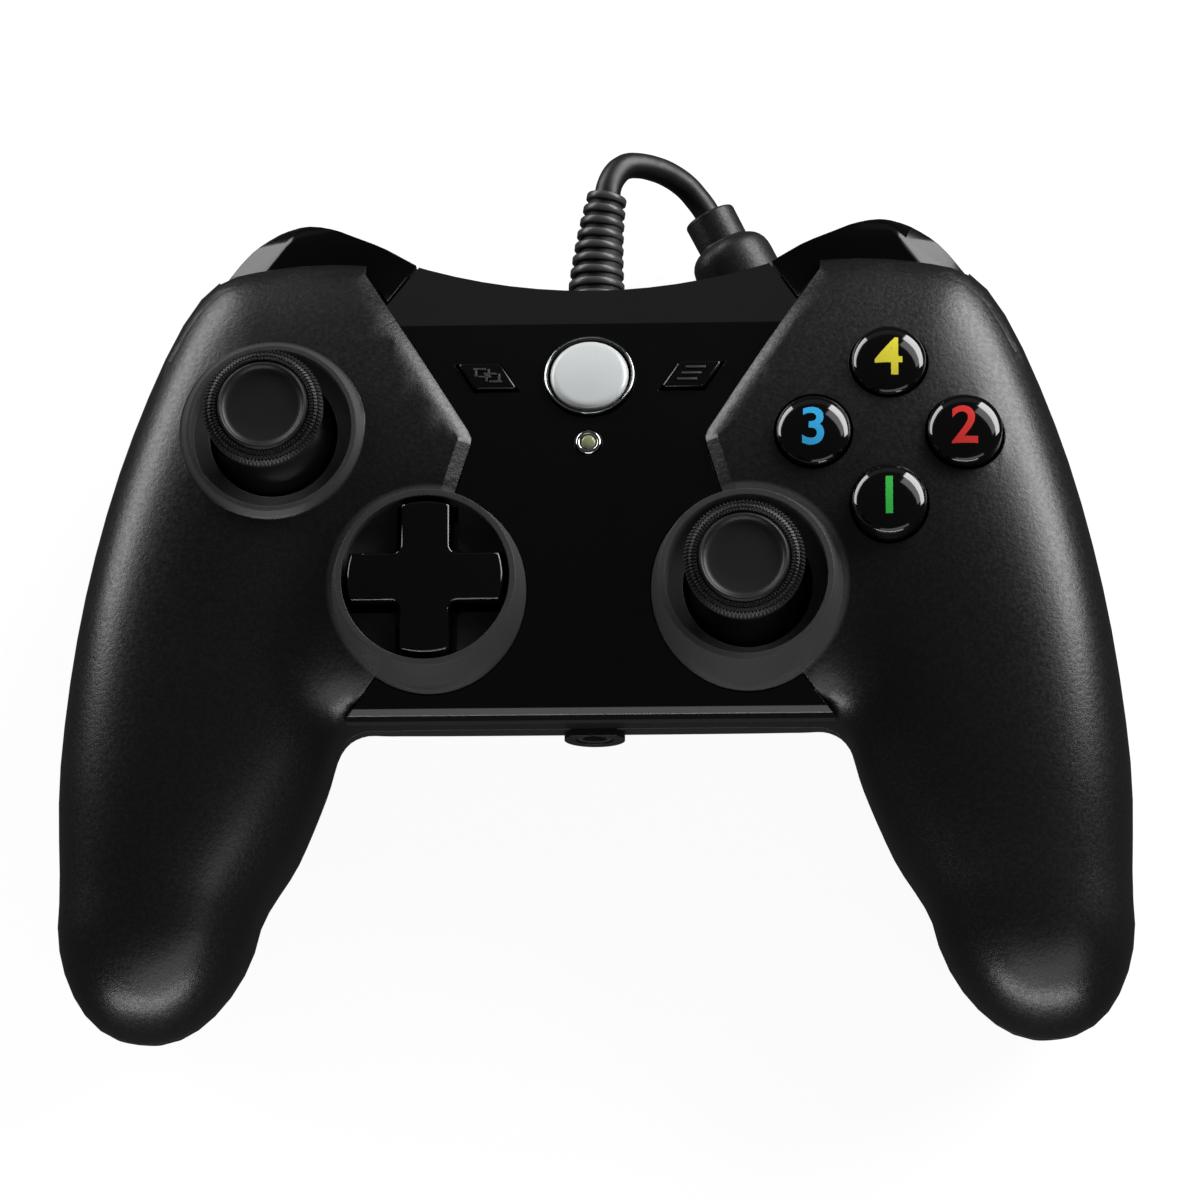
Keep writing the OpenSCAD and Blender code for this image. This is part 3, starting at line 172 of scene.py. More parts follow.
def grain(material, shader, grain_mm, depth_mm, shades=None, gloss=None, edge_mm=0.0):
    """Moulded grain: bump of a real size, a slow drift of colour and polish, softened edges."""
    tree = material.node_tree
    place = add(material, "ShaderNodeTexCoord")
    fine = add(
        material, "ShaderNodeTexNoise", Vector=(place, "Object"),
        Scale=1 / (grain_mm * MM), Detail=3.0, Roughness=0.6,
    )
    slow = add(
        material, "ShaderNodeTexNoise", Vector=(place, "Object"), Scale=1 / (DRIFT * MM), Detail=2.0
    )
    if shades:
        ramp = add(material, "ShaderNodeValToRGB", Fac=(slow, "Fac"))
        for stop, spot, code in zip(ramp.color_ramp.elements, NOISE_SPAN, shades):
            stop.position = spot
            stop.color = linear(code)
        tree.links.new(ramp.outputs["Color"], shader.inputs["Base Color"])
    if gloss:
        tree.links.new(ranged(material, (fine, "Fac"), NOISE_SPAN, gloss), shader.inputs["Roughness"])
    bump = add(
        material, "ShaderNodeBump", Height=(fine, "Fac"), Distance=depth_mm * MM, Strength=1.0
    )
    if edge_mm:
        soft = add(material, "ShaderNodeBevel", {"samples": 4}, Radius=edge_mm * MM)
        tree.links.new(soft.outputs["Normal"], bump.inputs["Normal"])
    tree.links.new(bump.outputs["Normal"], shader.inputs["Normal"])
    return material


def moulded(name, colour, grain_mm, depth_mm, shades=None, gloss=None, edge_mm=0.0, **values):
    """A moulded finish in one call."""
    material, shader = finish_of(name, colour, **values)
    return grain(material, shader, grain_mm, depth_mm, shades, gloss, edge_mm)


# Width over which a collar's painted sheen and dulling fade out
COLLAR_FADE = 0.6


def dull_with_painted_sheen(material, colour, roughness, rings):
    """Dulls round collars and lightens their colour as a painted sheen: rings are (x, y, radius) in
    millimetres, seen along Z.
    """
    tree = material.node_tree
    shader = tree.nodes["Principled BSDF"]
    place = add(material, "ShaderNodeTexCoord")
    flat = add(material, "ShaderNodeVectorMath", {"operation": "MULTIPLY"})
    tree.links.new(place.outputs["Object"], flat.inputs[0])
    flat.inputs[1].default_value = (1, 1, 0)
    covers = []
    for x, y, radius in rings:
        away = add(material, "ShaderNodeVectorMath", {"operation": "DISTANCE"})
        tree.links.new(flat.outputs["Vector"], away.inputs[0])
        away.inputs[1].default_value = (x * MM, y * MM, 0)
        span = ((radius - COLLAR_FADE) * MM, radius * MM)
        covers.append(ranged(material, (away, "Value"), span, (1, 0)))
    cover = covers[0]
    for other in covers[1:]:
        most = add(material, "ShaderNodeMath", {"operation": "MAXIMUM"})
        tree.links.new(cover, most.inputs[0])
        tree.links.new(other, most.inputs[1])
        cover = most.outputs[0]
    # The lighter colour is a painted sheen; the higher roughness is real dulling
    for name, kind, value, start, end in (
        ("Base Color", "RGBA", linear(colour), 6, 2), ("Roughness", "FLOAT", roughness, 2, 0),
    ):
        blend = add(material, "ShaderNodeMix", {"data_type": kind})
        tree.links.new(cover, blend.inputs[0])
        tree.links.new(shader.inputs[name].links[0].from_socket, blend.inputs[start])
        blend.inputs[start + 1].default_value = value
        tree.links.new(blend.outputs[end], shader.inputs[name])


# ABS from a spark-eroded mould: a fine visible grit that breaks highlights into sparkle
GRAINED_ABS = moulded(
    "grained_abs", "#111112", 0.6, 0.04, ("#0f0f10", "#131314"), (0.28, 0.4), 0.25, IOR=1.53
)
COLLARS = ((*DIRECTION_PAD, LOW_COLLAR_R), (*RIGHT_STICK, LOW_COLLAR_R), (*LEFT_STICK, HIGH_COLLAR_R))
# Painted sheen on the collar rings: a lighter colour, with a duller roughness
dull_with_painted_sheen(GRAINED_ABS, "#343435", 0.55, COLLARS)
# ABS from a finer matte mould, darker and even
MATTE_ABS = moulded(
    "matte_abs", "#111112", 0.3, 0.016, ("#0f0f10", "#131314"), (0.42, 0.55), 0.25, IOR=1.53
)
# ABS from a polished mould: piano gloss with a faint long ripple
GLOSS_ABS = moulded("gloss_abs", "#050506", 6, 0.01, ("#040405", "#060607"), None, 0.18, IOR=1.53,
                    Roughness=0.07, Coat_Weight=0.3, Coat_Roughness=0.03)
# The bumpers' thinner gloss: greyer reflections than the panel's
BUMPER_ABS = moulded("bumper_abs", "#060607", 6, 0.01, ("#050506", "#080809"), None, 0.18, IOR=1.53,
                     Roughness=0.12, Specular_IOR_Level=0.25)
# Soft-touch elastomer of the stick caps: dull, with a dusty grain
SOFT_ELASTOMER = moulded("soft_elastomer", "#151517", 0.25, 0.006, ("#131315", "#18181a"),
                         (0.4, 0.5), 0.05, IOR=1.5)
# Satin acetal of the sticks' skirts: one soft streak under the cap
SATIN_ACETAL = moulded("satin_acetal", "#121213", 0.4, 0.004, ("#101011", "#141415"), (0.28, 0.34), 0.1,
                       IOR=1.48)
# PVC of the lead: satin, with slow waves from extrusion
LEAD_PVC = moulded("lead_pvc", "#0e0e0f", 1.2, 0.012, ("#0c0c0d", "#101011"), (0.4, 0.5), 0.12,
                   IOR=1.53)
# PVC of the boot: grey on its ribs as a painted highlight
BOOT_RIB_HIGHLIGHT = moulded("boot_rib_highlight", "#464648", 0.8, 0.006, ("#414143", "#4c4c4e"), (0.3, 0.4), 0.06,
                   IOR=1.53)
# PVC between the boot's ribs, near black as painted shade
BOOT_CORE_SHADE = moulded("boot_core", "#050506", 0.8, 0.006, ("#040405", "#070708"), (0.6, 0.7), 0.0, IOR=1.53)
# Dull black of the dust shields under the sticks
SHIELD = moulded("dust_shield", "#060607", 0.5, 0.006, ("#050506", "#080809"), (0.6, 0.7), 0.0, IOR=1.5)
# PVC of the connector: a sandy mould texture
CONNECTOR_PVC = moulded("connector_pvc", "#121213", 0.45, 0.05, ("#0f0f10", "#151516"), (0.38, 0.5), 0.15,
                        IOR=1.53)
# Pearl lacquer on the guide button: pale, with fine flake
PEARL = moulded("pearl_lacquer", "#d3d6d6", 0.2, 0.002, ("#ccd0d0", "#dcdfdf"), (0.2, 0.3), 0.1,
                IOR=1.5, Coat_Weight=0.6, Coat_Roughness=0.05)
# Bright plating on the rings
PLATED = moulded("bright_plating", "#c2c4c6", 1.5, 0.003, None, (0.08, 0.16), 0.05, Metallic=1.0)
# Turned and stamped steel of pins, screws and cans
STEEL = moulded("turned_steel", "#9a9b9d", 0.25, 0.006, ("#8e8f91", "#a5a6a8"), (0.25, 0.4), 0.1,
                Metallic=1.0)
# Solder mask over copper
BOARD = moulded("solder_mask", "#12492a", 0.9, 0.01, ("#0f4226", "#16522f"), (0.25, 0.4), 0.1,
                IOR=1.5)
# Acetal of the rockers and posts
ACETAL = moulded("acetal", "#cfccc2", 0.5, 0.008, ("#c8c5ba", "#d6d3ca"), (0.35, 0.5), 0.1, IOR=1.48)
# Dark nylon of switches and housings
NYLON = moulded("dark_nylon", "#232326", 0.5, 0.012, ("#1f1f22", "#29292c"), (0.45, 0.6), 0.15,
                IOR=1.53)
# Blue polyester of the sensors
SENSOR_BODY = moulded("sensor_body", "#1d5c7c", 0.5, 0.01, ("#1a5471", "#226588"), (0.4, 0.55), 0.1,
                      IOR=1.53)
# Silicone of the membranes
SILICONE = moulded("silicone", "#767b80", 0.6, 0.01, ("#6f7479", "#7e8388"), (0.5, 0.62), 0.15, IOR=1.43)
# Gold flash on the contacts
GOLD = moulded("gold_flash", "#c9a24a", 0.4, 0.004, ("#c09a44", "#d2ab52"), (0.18, 0.28), 0.05,
               Metallic=1.0)
# Clear light pipe over the status light
LENS = moulded("light_pipe", "#c4cc9c", 2, 0.002, None, (0.05, 0.09), 0.0, IOR=1.49,
               Transmission_Weight=0.55)


def glowing_inlay(name, colour):
    """A coloured inlay under the button's clear top, given a faint painted glow by emission in its own
    colour.
    """
    return moulded(name, colour, 0.6, 0.002, None, (0.16, 0.24), 0.0, IOR=1.5, Coat_Weight=0.8,
                   Coat_Roughness=0.04, Emission_Color=linear(colour), Emission_Strength=0.12)


# Building helpers
def piece(name, bm, body, material, stands_for=(), crease=35):
    """An object from a finished bmesh, smooth except where faces meet more sharply than crease."""
    limit = math.radians(crease)
    for face in bm.faces:
        face.smooth = True
    for edge in bm.edges:
        edge.smooth = len(edge.link_faces) == 2 and edge.calc_face_angle(math.pi) < limit
    mesh = bpy.data.meshes.new(name)
    bm.to_mesh(mesh)
    bm.free()
    if "custom_normal" in mesh.attributes:
        mesh.attributes.remove(mesh.attributes["custom_normal"])
    mesh.materials.clear()
    mesh.materials.append(material)
    obj = bpy.data.objects.new(name, mesh)
    scene.collection.objects.link(obj)
    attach(obj, body)
    if stands_for:
        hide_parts(*stands_for)
    return obj


def node_copy(node):
    """A CAD node's shape as one joined mesh."""
    bm = bmesh.new()
    bm.from_mesh(frame["nodes"][node].data)
    bmesh.ops.remove_doubles(bm, verts=bm.verts, dist=MERGE)
    bmesh.ops.dissolve_limit(
        bm, angle_limit=math.radians(0.2), verts=bm.verts, edges=bm.edges
    )
    return bm


def dressed(node, name, material, crease=35):
    """A piece of a CAD node's own shape with even shading."""
    body = frame["nodes"][node]["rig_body"]
    return piece(name, node_copy(node), body, material, (node,), crease)


def spun(profile, steps, place=Matrix(), closed=False):
    """A turned solid from (radius, height) points about the place's own Z."""
    bm = bmesh.new()
    verts = [bm.verts.new((r * MM, 0, z * MM)) for r, z in profile]
    line = verts + verts[:1] if closed else verts
    edges = [bm.edges.new(pair) for pair in zip(line, line[1:])]
    bmesh.ops.spin(
        bm, geom=verts + edges, cent=(0, 0, 0), axis=(0, 0, 1), angle=math.tau, steps=steps,
        use_merge=True,
    )
    bmesh.ops.remove_doubles(bm, verts=bm.verts, dist=MERGE)
    bmesh.ops.recalc_face_normals(bm, faces=bm.faces)
    bmesh.ops.transform(bm, matrix=place, verts=bm.verts)
    return bm


def rounded(bm, geom, offset_mm, segments, affect="EDGES"):
    """Rounds edges or corners over."""
    bmesh.ops.bevel(
        bm, geom=geom, offset=offset_mm * MM, offset_type="OFFSET", segments=segments, profile=0.5,
        affect=affect, clamp_overlap=affect == "EDGES", material=-1,
    )


def arc(centre, radius, start, end, count):
    """Points of a profile's arc, angles in degrees from the radius axis."""
    turns = [math.radians(start + (end - start) * i / count) for i in range(count + 1)]
    return [(centre[0] + radius * math.cos(a), centre[1] + radius * math.sin(a)) for a in turns]


# Frames of the places
def at(x, y, z):
    """A shift in millimetres."""
    return Matrix.Translation(Vector((x, y, z)) * MM)


def on_panel(x, y):
    """The frame of the gloss panel's top at a place."""
    drop = (y - CREST_Y) ** 2 / (2 * FACE_R)
    tilt = math.atan((y - CREST_Y) / FACE_R)
    return at(x, y, FACE_Z - drop - PANEL_STEP) @ Matrix.Rotation(-tilt, 4, "X")


def on_cluster(angle):
    """The frame of a face button's seat."""
    turn = math.radians(angle)
    seat = at(CLUSTER_R * math.cos(turn), CLUSTER_R * math.sin(turn), 0)
    return Matrix.Translation(CLUSTER * MM) @ Matrix.Rotation(-BUTTON_TILT, 4, "X") @ seat


# Lead: boot, cord and breakaway connector
BOOT_Z = 17
CORD_D = 3.8
CORD_ROUTE = (
    (0, 47, 17), (0.1, 52, 17), (0.4, 56.4, 17), (0.9, 60.8, 17), (1.5, 64.4, 17), (1.75, 66, 16.8),
    (2.1, 67.1, 16.5), (2.7, 68.3, 16), (3.5, 69.3, 15.4), (4.5, 69.95, 14.7), (5.6, 70.25, 13.9),
    (6.8, 70.35, 13.1), (8, 70.3, 12.2), (9.3, 70.1, 11.3), (10.6, 69.7, 10.3), (11.9, 69.05, 9.4),
    (13, 68.25, 8.7), (14.1, 67.1, 8), (15, 66, 7.6), (15.6, 65.1, 7.4), (16.1, 64.2, 7.3),
)
BOOT_LEAN = 1.5
BOOT_FOOT = 48.4
BOOT_MOUTH = 64.4
CONNECTOR_HEADING = math.radians(-63)
CONNECTOR_PITCH = math.radians(3.6)
CONNECTOR_L = 15.6
BELL_R = 6.1


def leaned(bm):
    """Bends a straight boot sideways, more and more towards its mouth."""
    long = BOOT_MOUTH - BOOT_FOOT
    for vert in bm.verts:
        along = max(0, (vert.co.y / MM - BOOT_FOOT) / long)
        turn = math.atan(2 * BOOT_LEAN * along / long)
        vert.co.y -= vert.co.x * math.sin(turn)
        vert.co.x = vert.co.x * math.cos(turn) + BOOT_LEAN * along ** 2 * MM
    return bm


def make_boot():
    """Strain relief: a tapered core with a flange inside the wall, and eight flat ribs."""
    ribs, wide, slim, groove = 8, 4.25, 2.95, 0.5
    pitch = (BOOT_MOUTH - BOOT_FOOT) / (ribs + 0.4)
    place = at(0, 0, BOOT_Z) @ Matrix.Rotation(-math.pi / 2, 4, "X")
    core = [(1.95, 46.9), (0, 46.9), (0, 40.9), (5.8, 40.9), (6, 41.1), (6, 42.5), (4.4, 42.5)]
    core += [(4.4, BOOT_FOOT - 0.2), (wide - groove, BOOT_FOOT), (slim - groove, BOOT_MOUTH - 0.6)]
    core += [(slim - groove - 0.25, BOOT_MOUTH - 0.1), (1.95, BOOT_MOUTH)]
    # The ribs' grey is a painted highlight and the core's near black is painted shade between them
    boot = piece(
        "boot_core", leaned(spun(core, 48, place, closed=True)), "body", BOOT_CORE_SHADE,
        ("cable_boot",), 50,
    )
    bands = bmesh.new()
    for i in range(ribs + 1):
        radius = wide + (slim - wide) * i / ribs
        start = BOOT_FOOT + pitch * (i - 0.1)
        thick = 0.54 * pitch
        low = radius - groove - 0.1
        band = [(low, start), (radius - 0.1, start), (radius, start + 0.1), (radius, start + thick - 0.2),
                (radius - 0.14, start + thick), (low, start + thick)]
        ring = spun(band, 48, place, closed=True)
        mesh = bpy.data.meshes.new("rib")
        ring.to_mesh(mesh)
        ring.free()
        bands.from_mesh(mesh)
        bpy.data.meshes.remove(mesh)
    ribbing = piece("boot_ribs", leaned(bands), "body", BOOT_RIB_HIGHLIGHT, (), 50)
    return boot, ribbing


def make_connector():
    """Breakaway connector: a collar, a rounded shoulder and a bell with a socket in its end."""
    long = CONNECTOR_L
    profile = [(0, -0.2), (3.3, -0.2)] + arc((3.4, 0.25), 0.45, -90, 0, 4)
    profile += [(3.8, 4.4)] + arc((4.3, 4.4), 0.5, 180, 110, 4)
    profile += [(4.6, 5.02), (5.05, 5.35), (5.5, 5.85), (5.85, 6.5), (6.04, 7.3), (BELL_R, 8.2)]
    profile += [(BELL_R, long - 0.6)] + arc((BELL_R - 0.6, long - 0.6), 0.6, 0, 90, 5)
    profile += [(3.7, long), (3.5, long - 0.2), (3.5, long - 5), (0, long - 5)]
    end = at(*CORD_ROUTE[-1])
    turn = Matrix.Rotation(CONNECTOR_HEADING, 4, "Z") @ Matrix.Rotation(CONNECTOR_PITCH, 4, "Y")
    place = end @ turn @ Matrix.Rotation(math.pi / 2, 4, "Y")
    return piece(
        "lead_connector", spun(profile, 64, place), "body", CONNECTOR_PVC,
        ("breakaway_connector",), 40,
    )


def make_cord(boot, ribbing, connector):
    """The short lead as one smooth tube from the back wall to the connector."""
    data = bpy.data.curves.new("lead_cord", "CURVE")
    data.dimensions = "3D"
    data.bevel_depth = CORD_D / 2 * MM
    data.bevel_resolution = 6
    data.resolution_u = 8
    data.use_fill_caps = True
    line = data.splines.new("BEZIER")
    line.bezier_points.add(len(CORD_ROUTE) - 1)
    for point, spot in zip(line.bezier_points, CORD_ROUTE):
        point.co = Vector(spot) * MM
        point.handle_left_type = "AUTO"
        point.handle_right_type = "AUTO"
    data.materials.append(LEAD_PVC)
    cord = bpy.data.objects.new("lead_cord", data)
    scene.collection.objects.link(cord)
    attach(cord, "body")
    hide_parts("pigtail_cord")


make_cord(*make_boot(), make_connector())


# Casing, panel and shoulders: the CAD shape with even shading and a few softened forms
TIP_Y = -34
TIP_X = 63
TIP_SPAN = 22
TIP_SLIM = 0.07
TIP_OUT = 1.2
TIP_LONG = 0.9


def slim_tips(vert):
    """Draws the grips out and slimmer towards their tips."""
    x, y = vert.co.x / MM, vert.co.y / MM
    share = min(1, max(0, (TIP_Y - y) / TIP_SPAN)) ** 2
    reach = TIP_X + (abs(x) - TIP_X) * (1 - TIP_SLIM * share) + TIP_OUT * share
    vert.co.x = math.copysign(reach, x) * MM
    vert.co.y = (y - TIP_LONG * share) * MM


BUMPER_BEND = (41.4, 58.5, 0)
END_LINE = (0.83, 0.56, 0)
BUMPER_LOW = 19.4
BUMPER_TOP = 25.6
END_SLOPE = 0.64
END_CUTS = (0, 0.4, 0.8, 1.2)


def on_side(side, values):
    """A place or direction of the right side, mirrored for side -1."""
    return Vector((side * values[0], values[1], values[2]))


def drop_ends(vert):
    """Slopes a bumper's top down towards its outer back corner."""
    side = math.copysign(1, vert.co.x)
    out = max(0, (vert.co / MM - on_side(side, BUMPER_BEND)).dot(on_side(side, END_LINE)))
    ease = END_CUTS[-1]
    fall = out * out / (2 * ease) if out < ease else out - ease / 2
    high = (vert.co.z / MM - BUMPER_LOW) / (BUMPER_TOP - BUMPER_LOW)
    vert.co.z -= END_SLOPE * fall * max(0, high) * MM


def reshaped(node, name, material, bend, crease=35, cuts=()):
    """A piece of a CAD node's shape, cut by planes and with each vertex moved by a function."""
    bm = node_copy(node)
    for spot, line in cuts:
        bmesh.ops.bisect_plane(
            bm, geom=bm.verts[:] + bm.edges[:] + bm.faces[:], plane_co=spot * MM, plane_no=line
        )
    for vert in bm.verts:
        bend(vert)
    bmesh.ops.recalc_face_normals(bm, faces=bm.faces)
    return piece(name, bm, frame["nodes"][node]["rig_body"], material, (node,), crease)


reshaped("front_casing", "front_shell", GRAINED_ABS, slim_tips)
reshaped("rear_casing", "rear_shell", MATTE_ABS, slim_tips)
dressed("centre_panel", "gloss_panel", GLOSS_ABS, 5)
for side, sign in (("left", -1), ("right", 1)):
    bend, line = on_side(sign, BUMPER_BEND), on_side(sign, END_LINE)
    cuts = [(bend + line * out, line) for out in END_CUTS]
    reshaped(f"{side}_bumper", f"{side}_bumper_key", BUMPER_ABS, drop_ends, 40, cuts)
    dressed(f"{side}_trigger", f"{side}_trigger_key", MATTE_ABS, 40)


# Case screws: the heads under the curved sides of the grips are thin, to stay inside their holes
SIDE_SCREW_Y = (0, 12)
SIDE_SCREW_X = 58
SIDE_HEAD_LOW = 7.4


def thin_heads(vert):
    """Draws the underside of a side screw's head up into its hole."""
    x, y, z = vert.co / MM
    if abs(x) > SIDE_SCREW_X and SIDE_SCREW_Y[0] < y < SIDE_SCREW_Y[1]:
        vert.co.z = max(z, SIDE_HEAD_LOW) * MM


reshaped("case_screws", "casing_screws", STEEL, thin_heads)


# Thumb sticks
KNURLS = 96
KNURL_DEPTH = 0.24
KNURL_TAPER = 0.03
CAP_TOP = 49.5 - PIVOT_Z
SKIRT_R = 12
STEM_R = 4.2


def make_stick(side, spot):
    """A cap with a dished top, a lip and three rows of knurling."""
    top = CAP_TOP
    dish = [(0, top - 0.8), (3, top - 0.79), (4.9, top - 0.76), (5.4, top - 0.68), (5.68, top - 0.42)]
    lip = [(5.8, top - 0.12), (6, top - 0.02), (6.2, top - 0.1), (6.28, top - 0.3)]
    rows = [(6.5, 0.56), (6.62, 0.42), (7.08, 0.5), (7.14, 0.64), (7.24, 0.6), (7.7, 0.84), (7.76, 1),
            (7.84, 0.96), (8.34, 1.66)]
    rim = [(8.42, top - 1.95), (8.4, top - 2.7), (8.28, top - 3), (7.9, top - 3.3)]
    under = [(7.0, top - 4.4), (5.8, top - 5.4), (4.9, top - 6.1), (4.45, top - 7), (STEM_R, top - 9.5)]
    profile = dish + lip + [(r, top - drop) for r, drop in rows] + rim + under
    profile += [(STEM_R, SKIRT_R - 1.2), (1.9, SKIRT_R - 1.2), (1.9, top - 1.6), (0, top - 1.6)]
    steps = 2 * KNURLS
    bm = spun(profile, steps)
    teeth = []
    for face in bm.faces:
        middle = face.calc_center_median() / MM
        radius = math.hypot(middle.x, middle.y)
        column = int((math.atan2(middle.y, middle.x) % math.tau) / math.tau * steps)
        ridge = any(rows[i][0] < radius < rows[i + 1][0] for i in (1, 4, 7))
        if ridge and middle.z > top - rows[-1][1] and column % 2 == 0:
            teeth.append(face)
    bmesh.ops.inset_individual(
        bm, faces=teeth, thickness=KNURL_TAPER * MM, depth=KNURL_DEPTH * MM, use_even_offset=True
    )
    bmesh.ops.transform(bm, matrix=at(spot[0], spot[1], PIVOT_Z), verts=bm.verts)
    piece(
        f"{side}_thumb_cap", bm, f"{side}_stick", SOFT_ELASTOMER,
        (f"{side}_stick_cap",), 40,
    )


def make_skirt(side, spot):
    """The domed skirt under a cap, and the dull dust shield that carries on below it."""
    place = at(spot[0], spot[1], PIVOT_Z)
    for name, radius, wall, first, last, finish in (
        ("skirt", SKIRT_R, 0.6, STEM_R, 8.4, SATIN_ACETAL),
        ("dust_shield", SKIRT_R - 0.5, 0.7, STEM_R, 10, SHIELD),
    ):
        inside = radius - wall
        start, end = math.degrees(math.acos(first / radius)), math.degrees(math.acos(last / radius))
        profile = arc((0, 0), radius, start, end, 18)
        profile += arc((0, 0), inside, end, math.degrees(math.acos(first / inside)), 12)
        bm = spun(profile, 96, place, closed=True)
        piece(f"{side}_{name}", bm, f"{side}_stick", finish, (), 40)


for name, spot in (("left", LEFT_STICK), ("right", RIGHT_STICK)):
    make_stick(name, spot)
    make_skirt(name, spot)


# Direction pad
def make_cross():
    """The cross with its top edges rounded over."""
    bm = node_copy("dpad_cross")
    top = max(v.co.z for v in bm.verts)
    rim = [e for e in bm.edges if all(abs(v.co.z - top) < 0.01 * MM for v in e.verts)]
    rounded(bm, rim, 0.45, 4)
    piece("direction_cross", bm, "dpad", GLOSS_ABS, ("dpad_cross",), 50)


make_cross()


# Face buttons
BUTTON_R = 5.3
DOME_BASE = 0.3
DOME_RISE = 1.9
NUMERAL_H = 5.6
NUMERAL_SHARE = 0.7
NUMERAL_PROUD = 0.03
NUMERAL_SUNK = 0.25


def dome(radius):
    """Height of a button's dome."""
    return DOME_BASE + DOME_RISE * math.sqrt(max(0, 1 - (radius / BUTTON_R) ** 2))


def make_button(name, angle, numeral, colour):
    """A gloss dome on a flanged stem, with a coloured numeral let into its top."""
    place = on_cluster(angle)
    profile = [(0, -11), (2.2, -11), (2.2, -6), (5.9, -6), (5.9, -5), (BUTTON_R, -5)]
    profile += [(BUTTON_R * math.cos(a), DOME_BASE + DOME_RISE * math.sin(a))
                for a in [math.radians(7.5 * i) for i in range(12)]] + [(0, DOME_BASE + DOME_RISE)]
    body = f"{name}_button"
    piece(
        f"{name}_button_dome", spun(profile, 72, place), body, GLOSS_ABS,
        (f"button_{name}",), 40,
    )
    data = bpy.data.curves.new(f"{name}_numeral", "FONT")
    data.body = numeral
    data.size = NUMERAL_H * MM / NUMERAL_SHARE
    data.extrude = 0.1 * MM
    data.offset = 0.12 * MM
    data.resolution_u = 6
    text = bpy.data.objects.new(f"{name}_text", data)
    scene.collection.objects.link(text)
    graph = bpy.context.evaluated_depsgraph_get()
    mesh = bpy.data.meshes.new_from_object(text.evaluated_get(graph))
    bm = bmesh.new()
    bm.from_mesh(mesh)
    bpy.data.objects.remove(text)
    bmesh.ops.remove_doubles(bm, verts=bm.verts, dist=MERGE)
    low = Vector([min(v.co[i] for v in bm.verts) for i in range(3)])
    high = Vector([max(v.co[i] for v in bm.verts) for i in range(3)])
    bmesh.ops.translate(bm, vec=-(low + high) / 2, verts=bm.verts)
    bmesh.ops.triangulate(bm, faces=bm.faces)
    long = [e for e in bm.edges if e.calc_length() > 0.6 * MM]
    bmesh.ops.subdivide_edges(bm, edges=long, cuts=4)
    bmesh.ops.triangulate(bm, faces=bm.faces)
    for vert in bm.verts:
        lift = NUMERAL_PROUD if vert.co.z > 0 else -NUMERAL_SUNK
        vert.co.z = (dome(math.hypot(vert.co.x, vert.co.y) / MM) + lift) * MM
    bmesh.ops.recalc_face_normals(bm, faces=bm.faces)
    bmesh.ops.transform(bm, matrix=place, verts=bm.verts)
    piece(f"{name}_numeral", bm, body, glowing_inlay(f"{name}_ink", colour), (), 40)


make_button("top", 90, "4", "#d9cf3c")
make_button("left", 180, "3", "#35a4dc")
make_button("right", 0, "2", "#cc3330")
make_button("bottom", 270, "1", "#36ad45")


# Guide button, its ring and bezel
def make_guide():
    """A pearl dome in a black ring edged with a bright bezel."""
    place = on_panel(0, GUIDE_Y)
    radius = 5.6
    profile = [(0, -6.5), (1.5, -6.5), (1.5, -3), (radius, -3), (radius, 0.35), (radius - 0.1, 0.62)]
    profile += [(radius - 0.35, 0.84)] + [
        (r, 1.3 - 0.4 * (r / radius) ** 2) for r in (5, 4.5, 4, 3.4, 2.7, 1.8, 0.9, 0)
    ]
    piece("pearl_guide", spun(profile, 96, place), "guide", PEARL, ("guide_button",), 40)
    ring = [(5.95, -2), (6.4, -2), (6.4, 0.3), (6.18, 0.3), (6.18, 0.5), (6.1, 0.6), (6, 0.6), (5.95, 0.5)]
    piece(
        "guide_surround", spun(ring, 96, place, closed=True), "body", GLOSS_ABS,
        ("guide_ring",), 40,
    )
    bezel = [(6.2, 0.32), (6.4, 0.32)] + arc((6.3, 0.55), 0.13, 0, 180, 8)
    piece("guide_bezel", spun(bezel, 96, place, closed=True), "body", PLATED, (), 60)


make_guide()


# Status light
def make_status():
    """A clear domed pipe in a rounded plated ring."""
    place = on_panel(0, LENS_Y)
    pipe = [(0, -13), (1.05, -13), (1.05, 0.1)]
    pipe += [(1.05 * math.cos(a), 0.1 + 0.45 * math.sin(a))
             for a in [math.radians(15 * i) for i in range(1, 6)]] + [(0, 0.55)]
    piece("status_pipe", spun(pipe, 40, place), "body", LENS, ("status_lens",), 50)
    ring = [(1.11, -2), (1.8, -2), (1.8, 0.1)] + arc((1.5, 0.1), 0.3, 15, 165, 8) + [(1.11, -0.1)]
    piece(
        "status_bezel", spun(ring, 48, place, closed=True), "body", PLATED,
        ("status_ring",), 50,
    )


make_status()


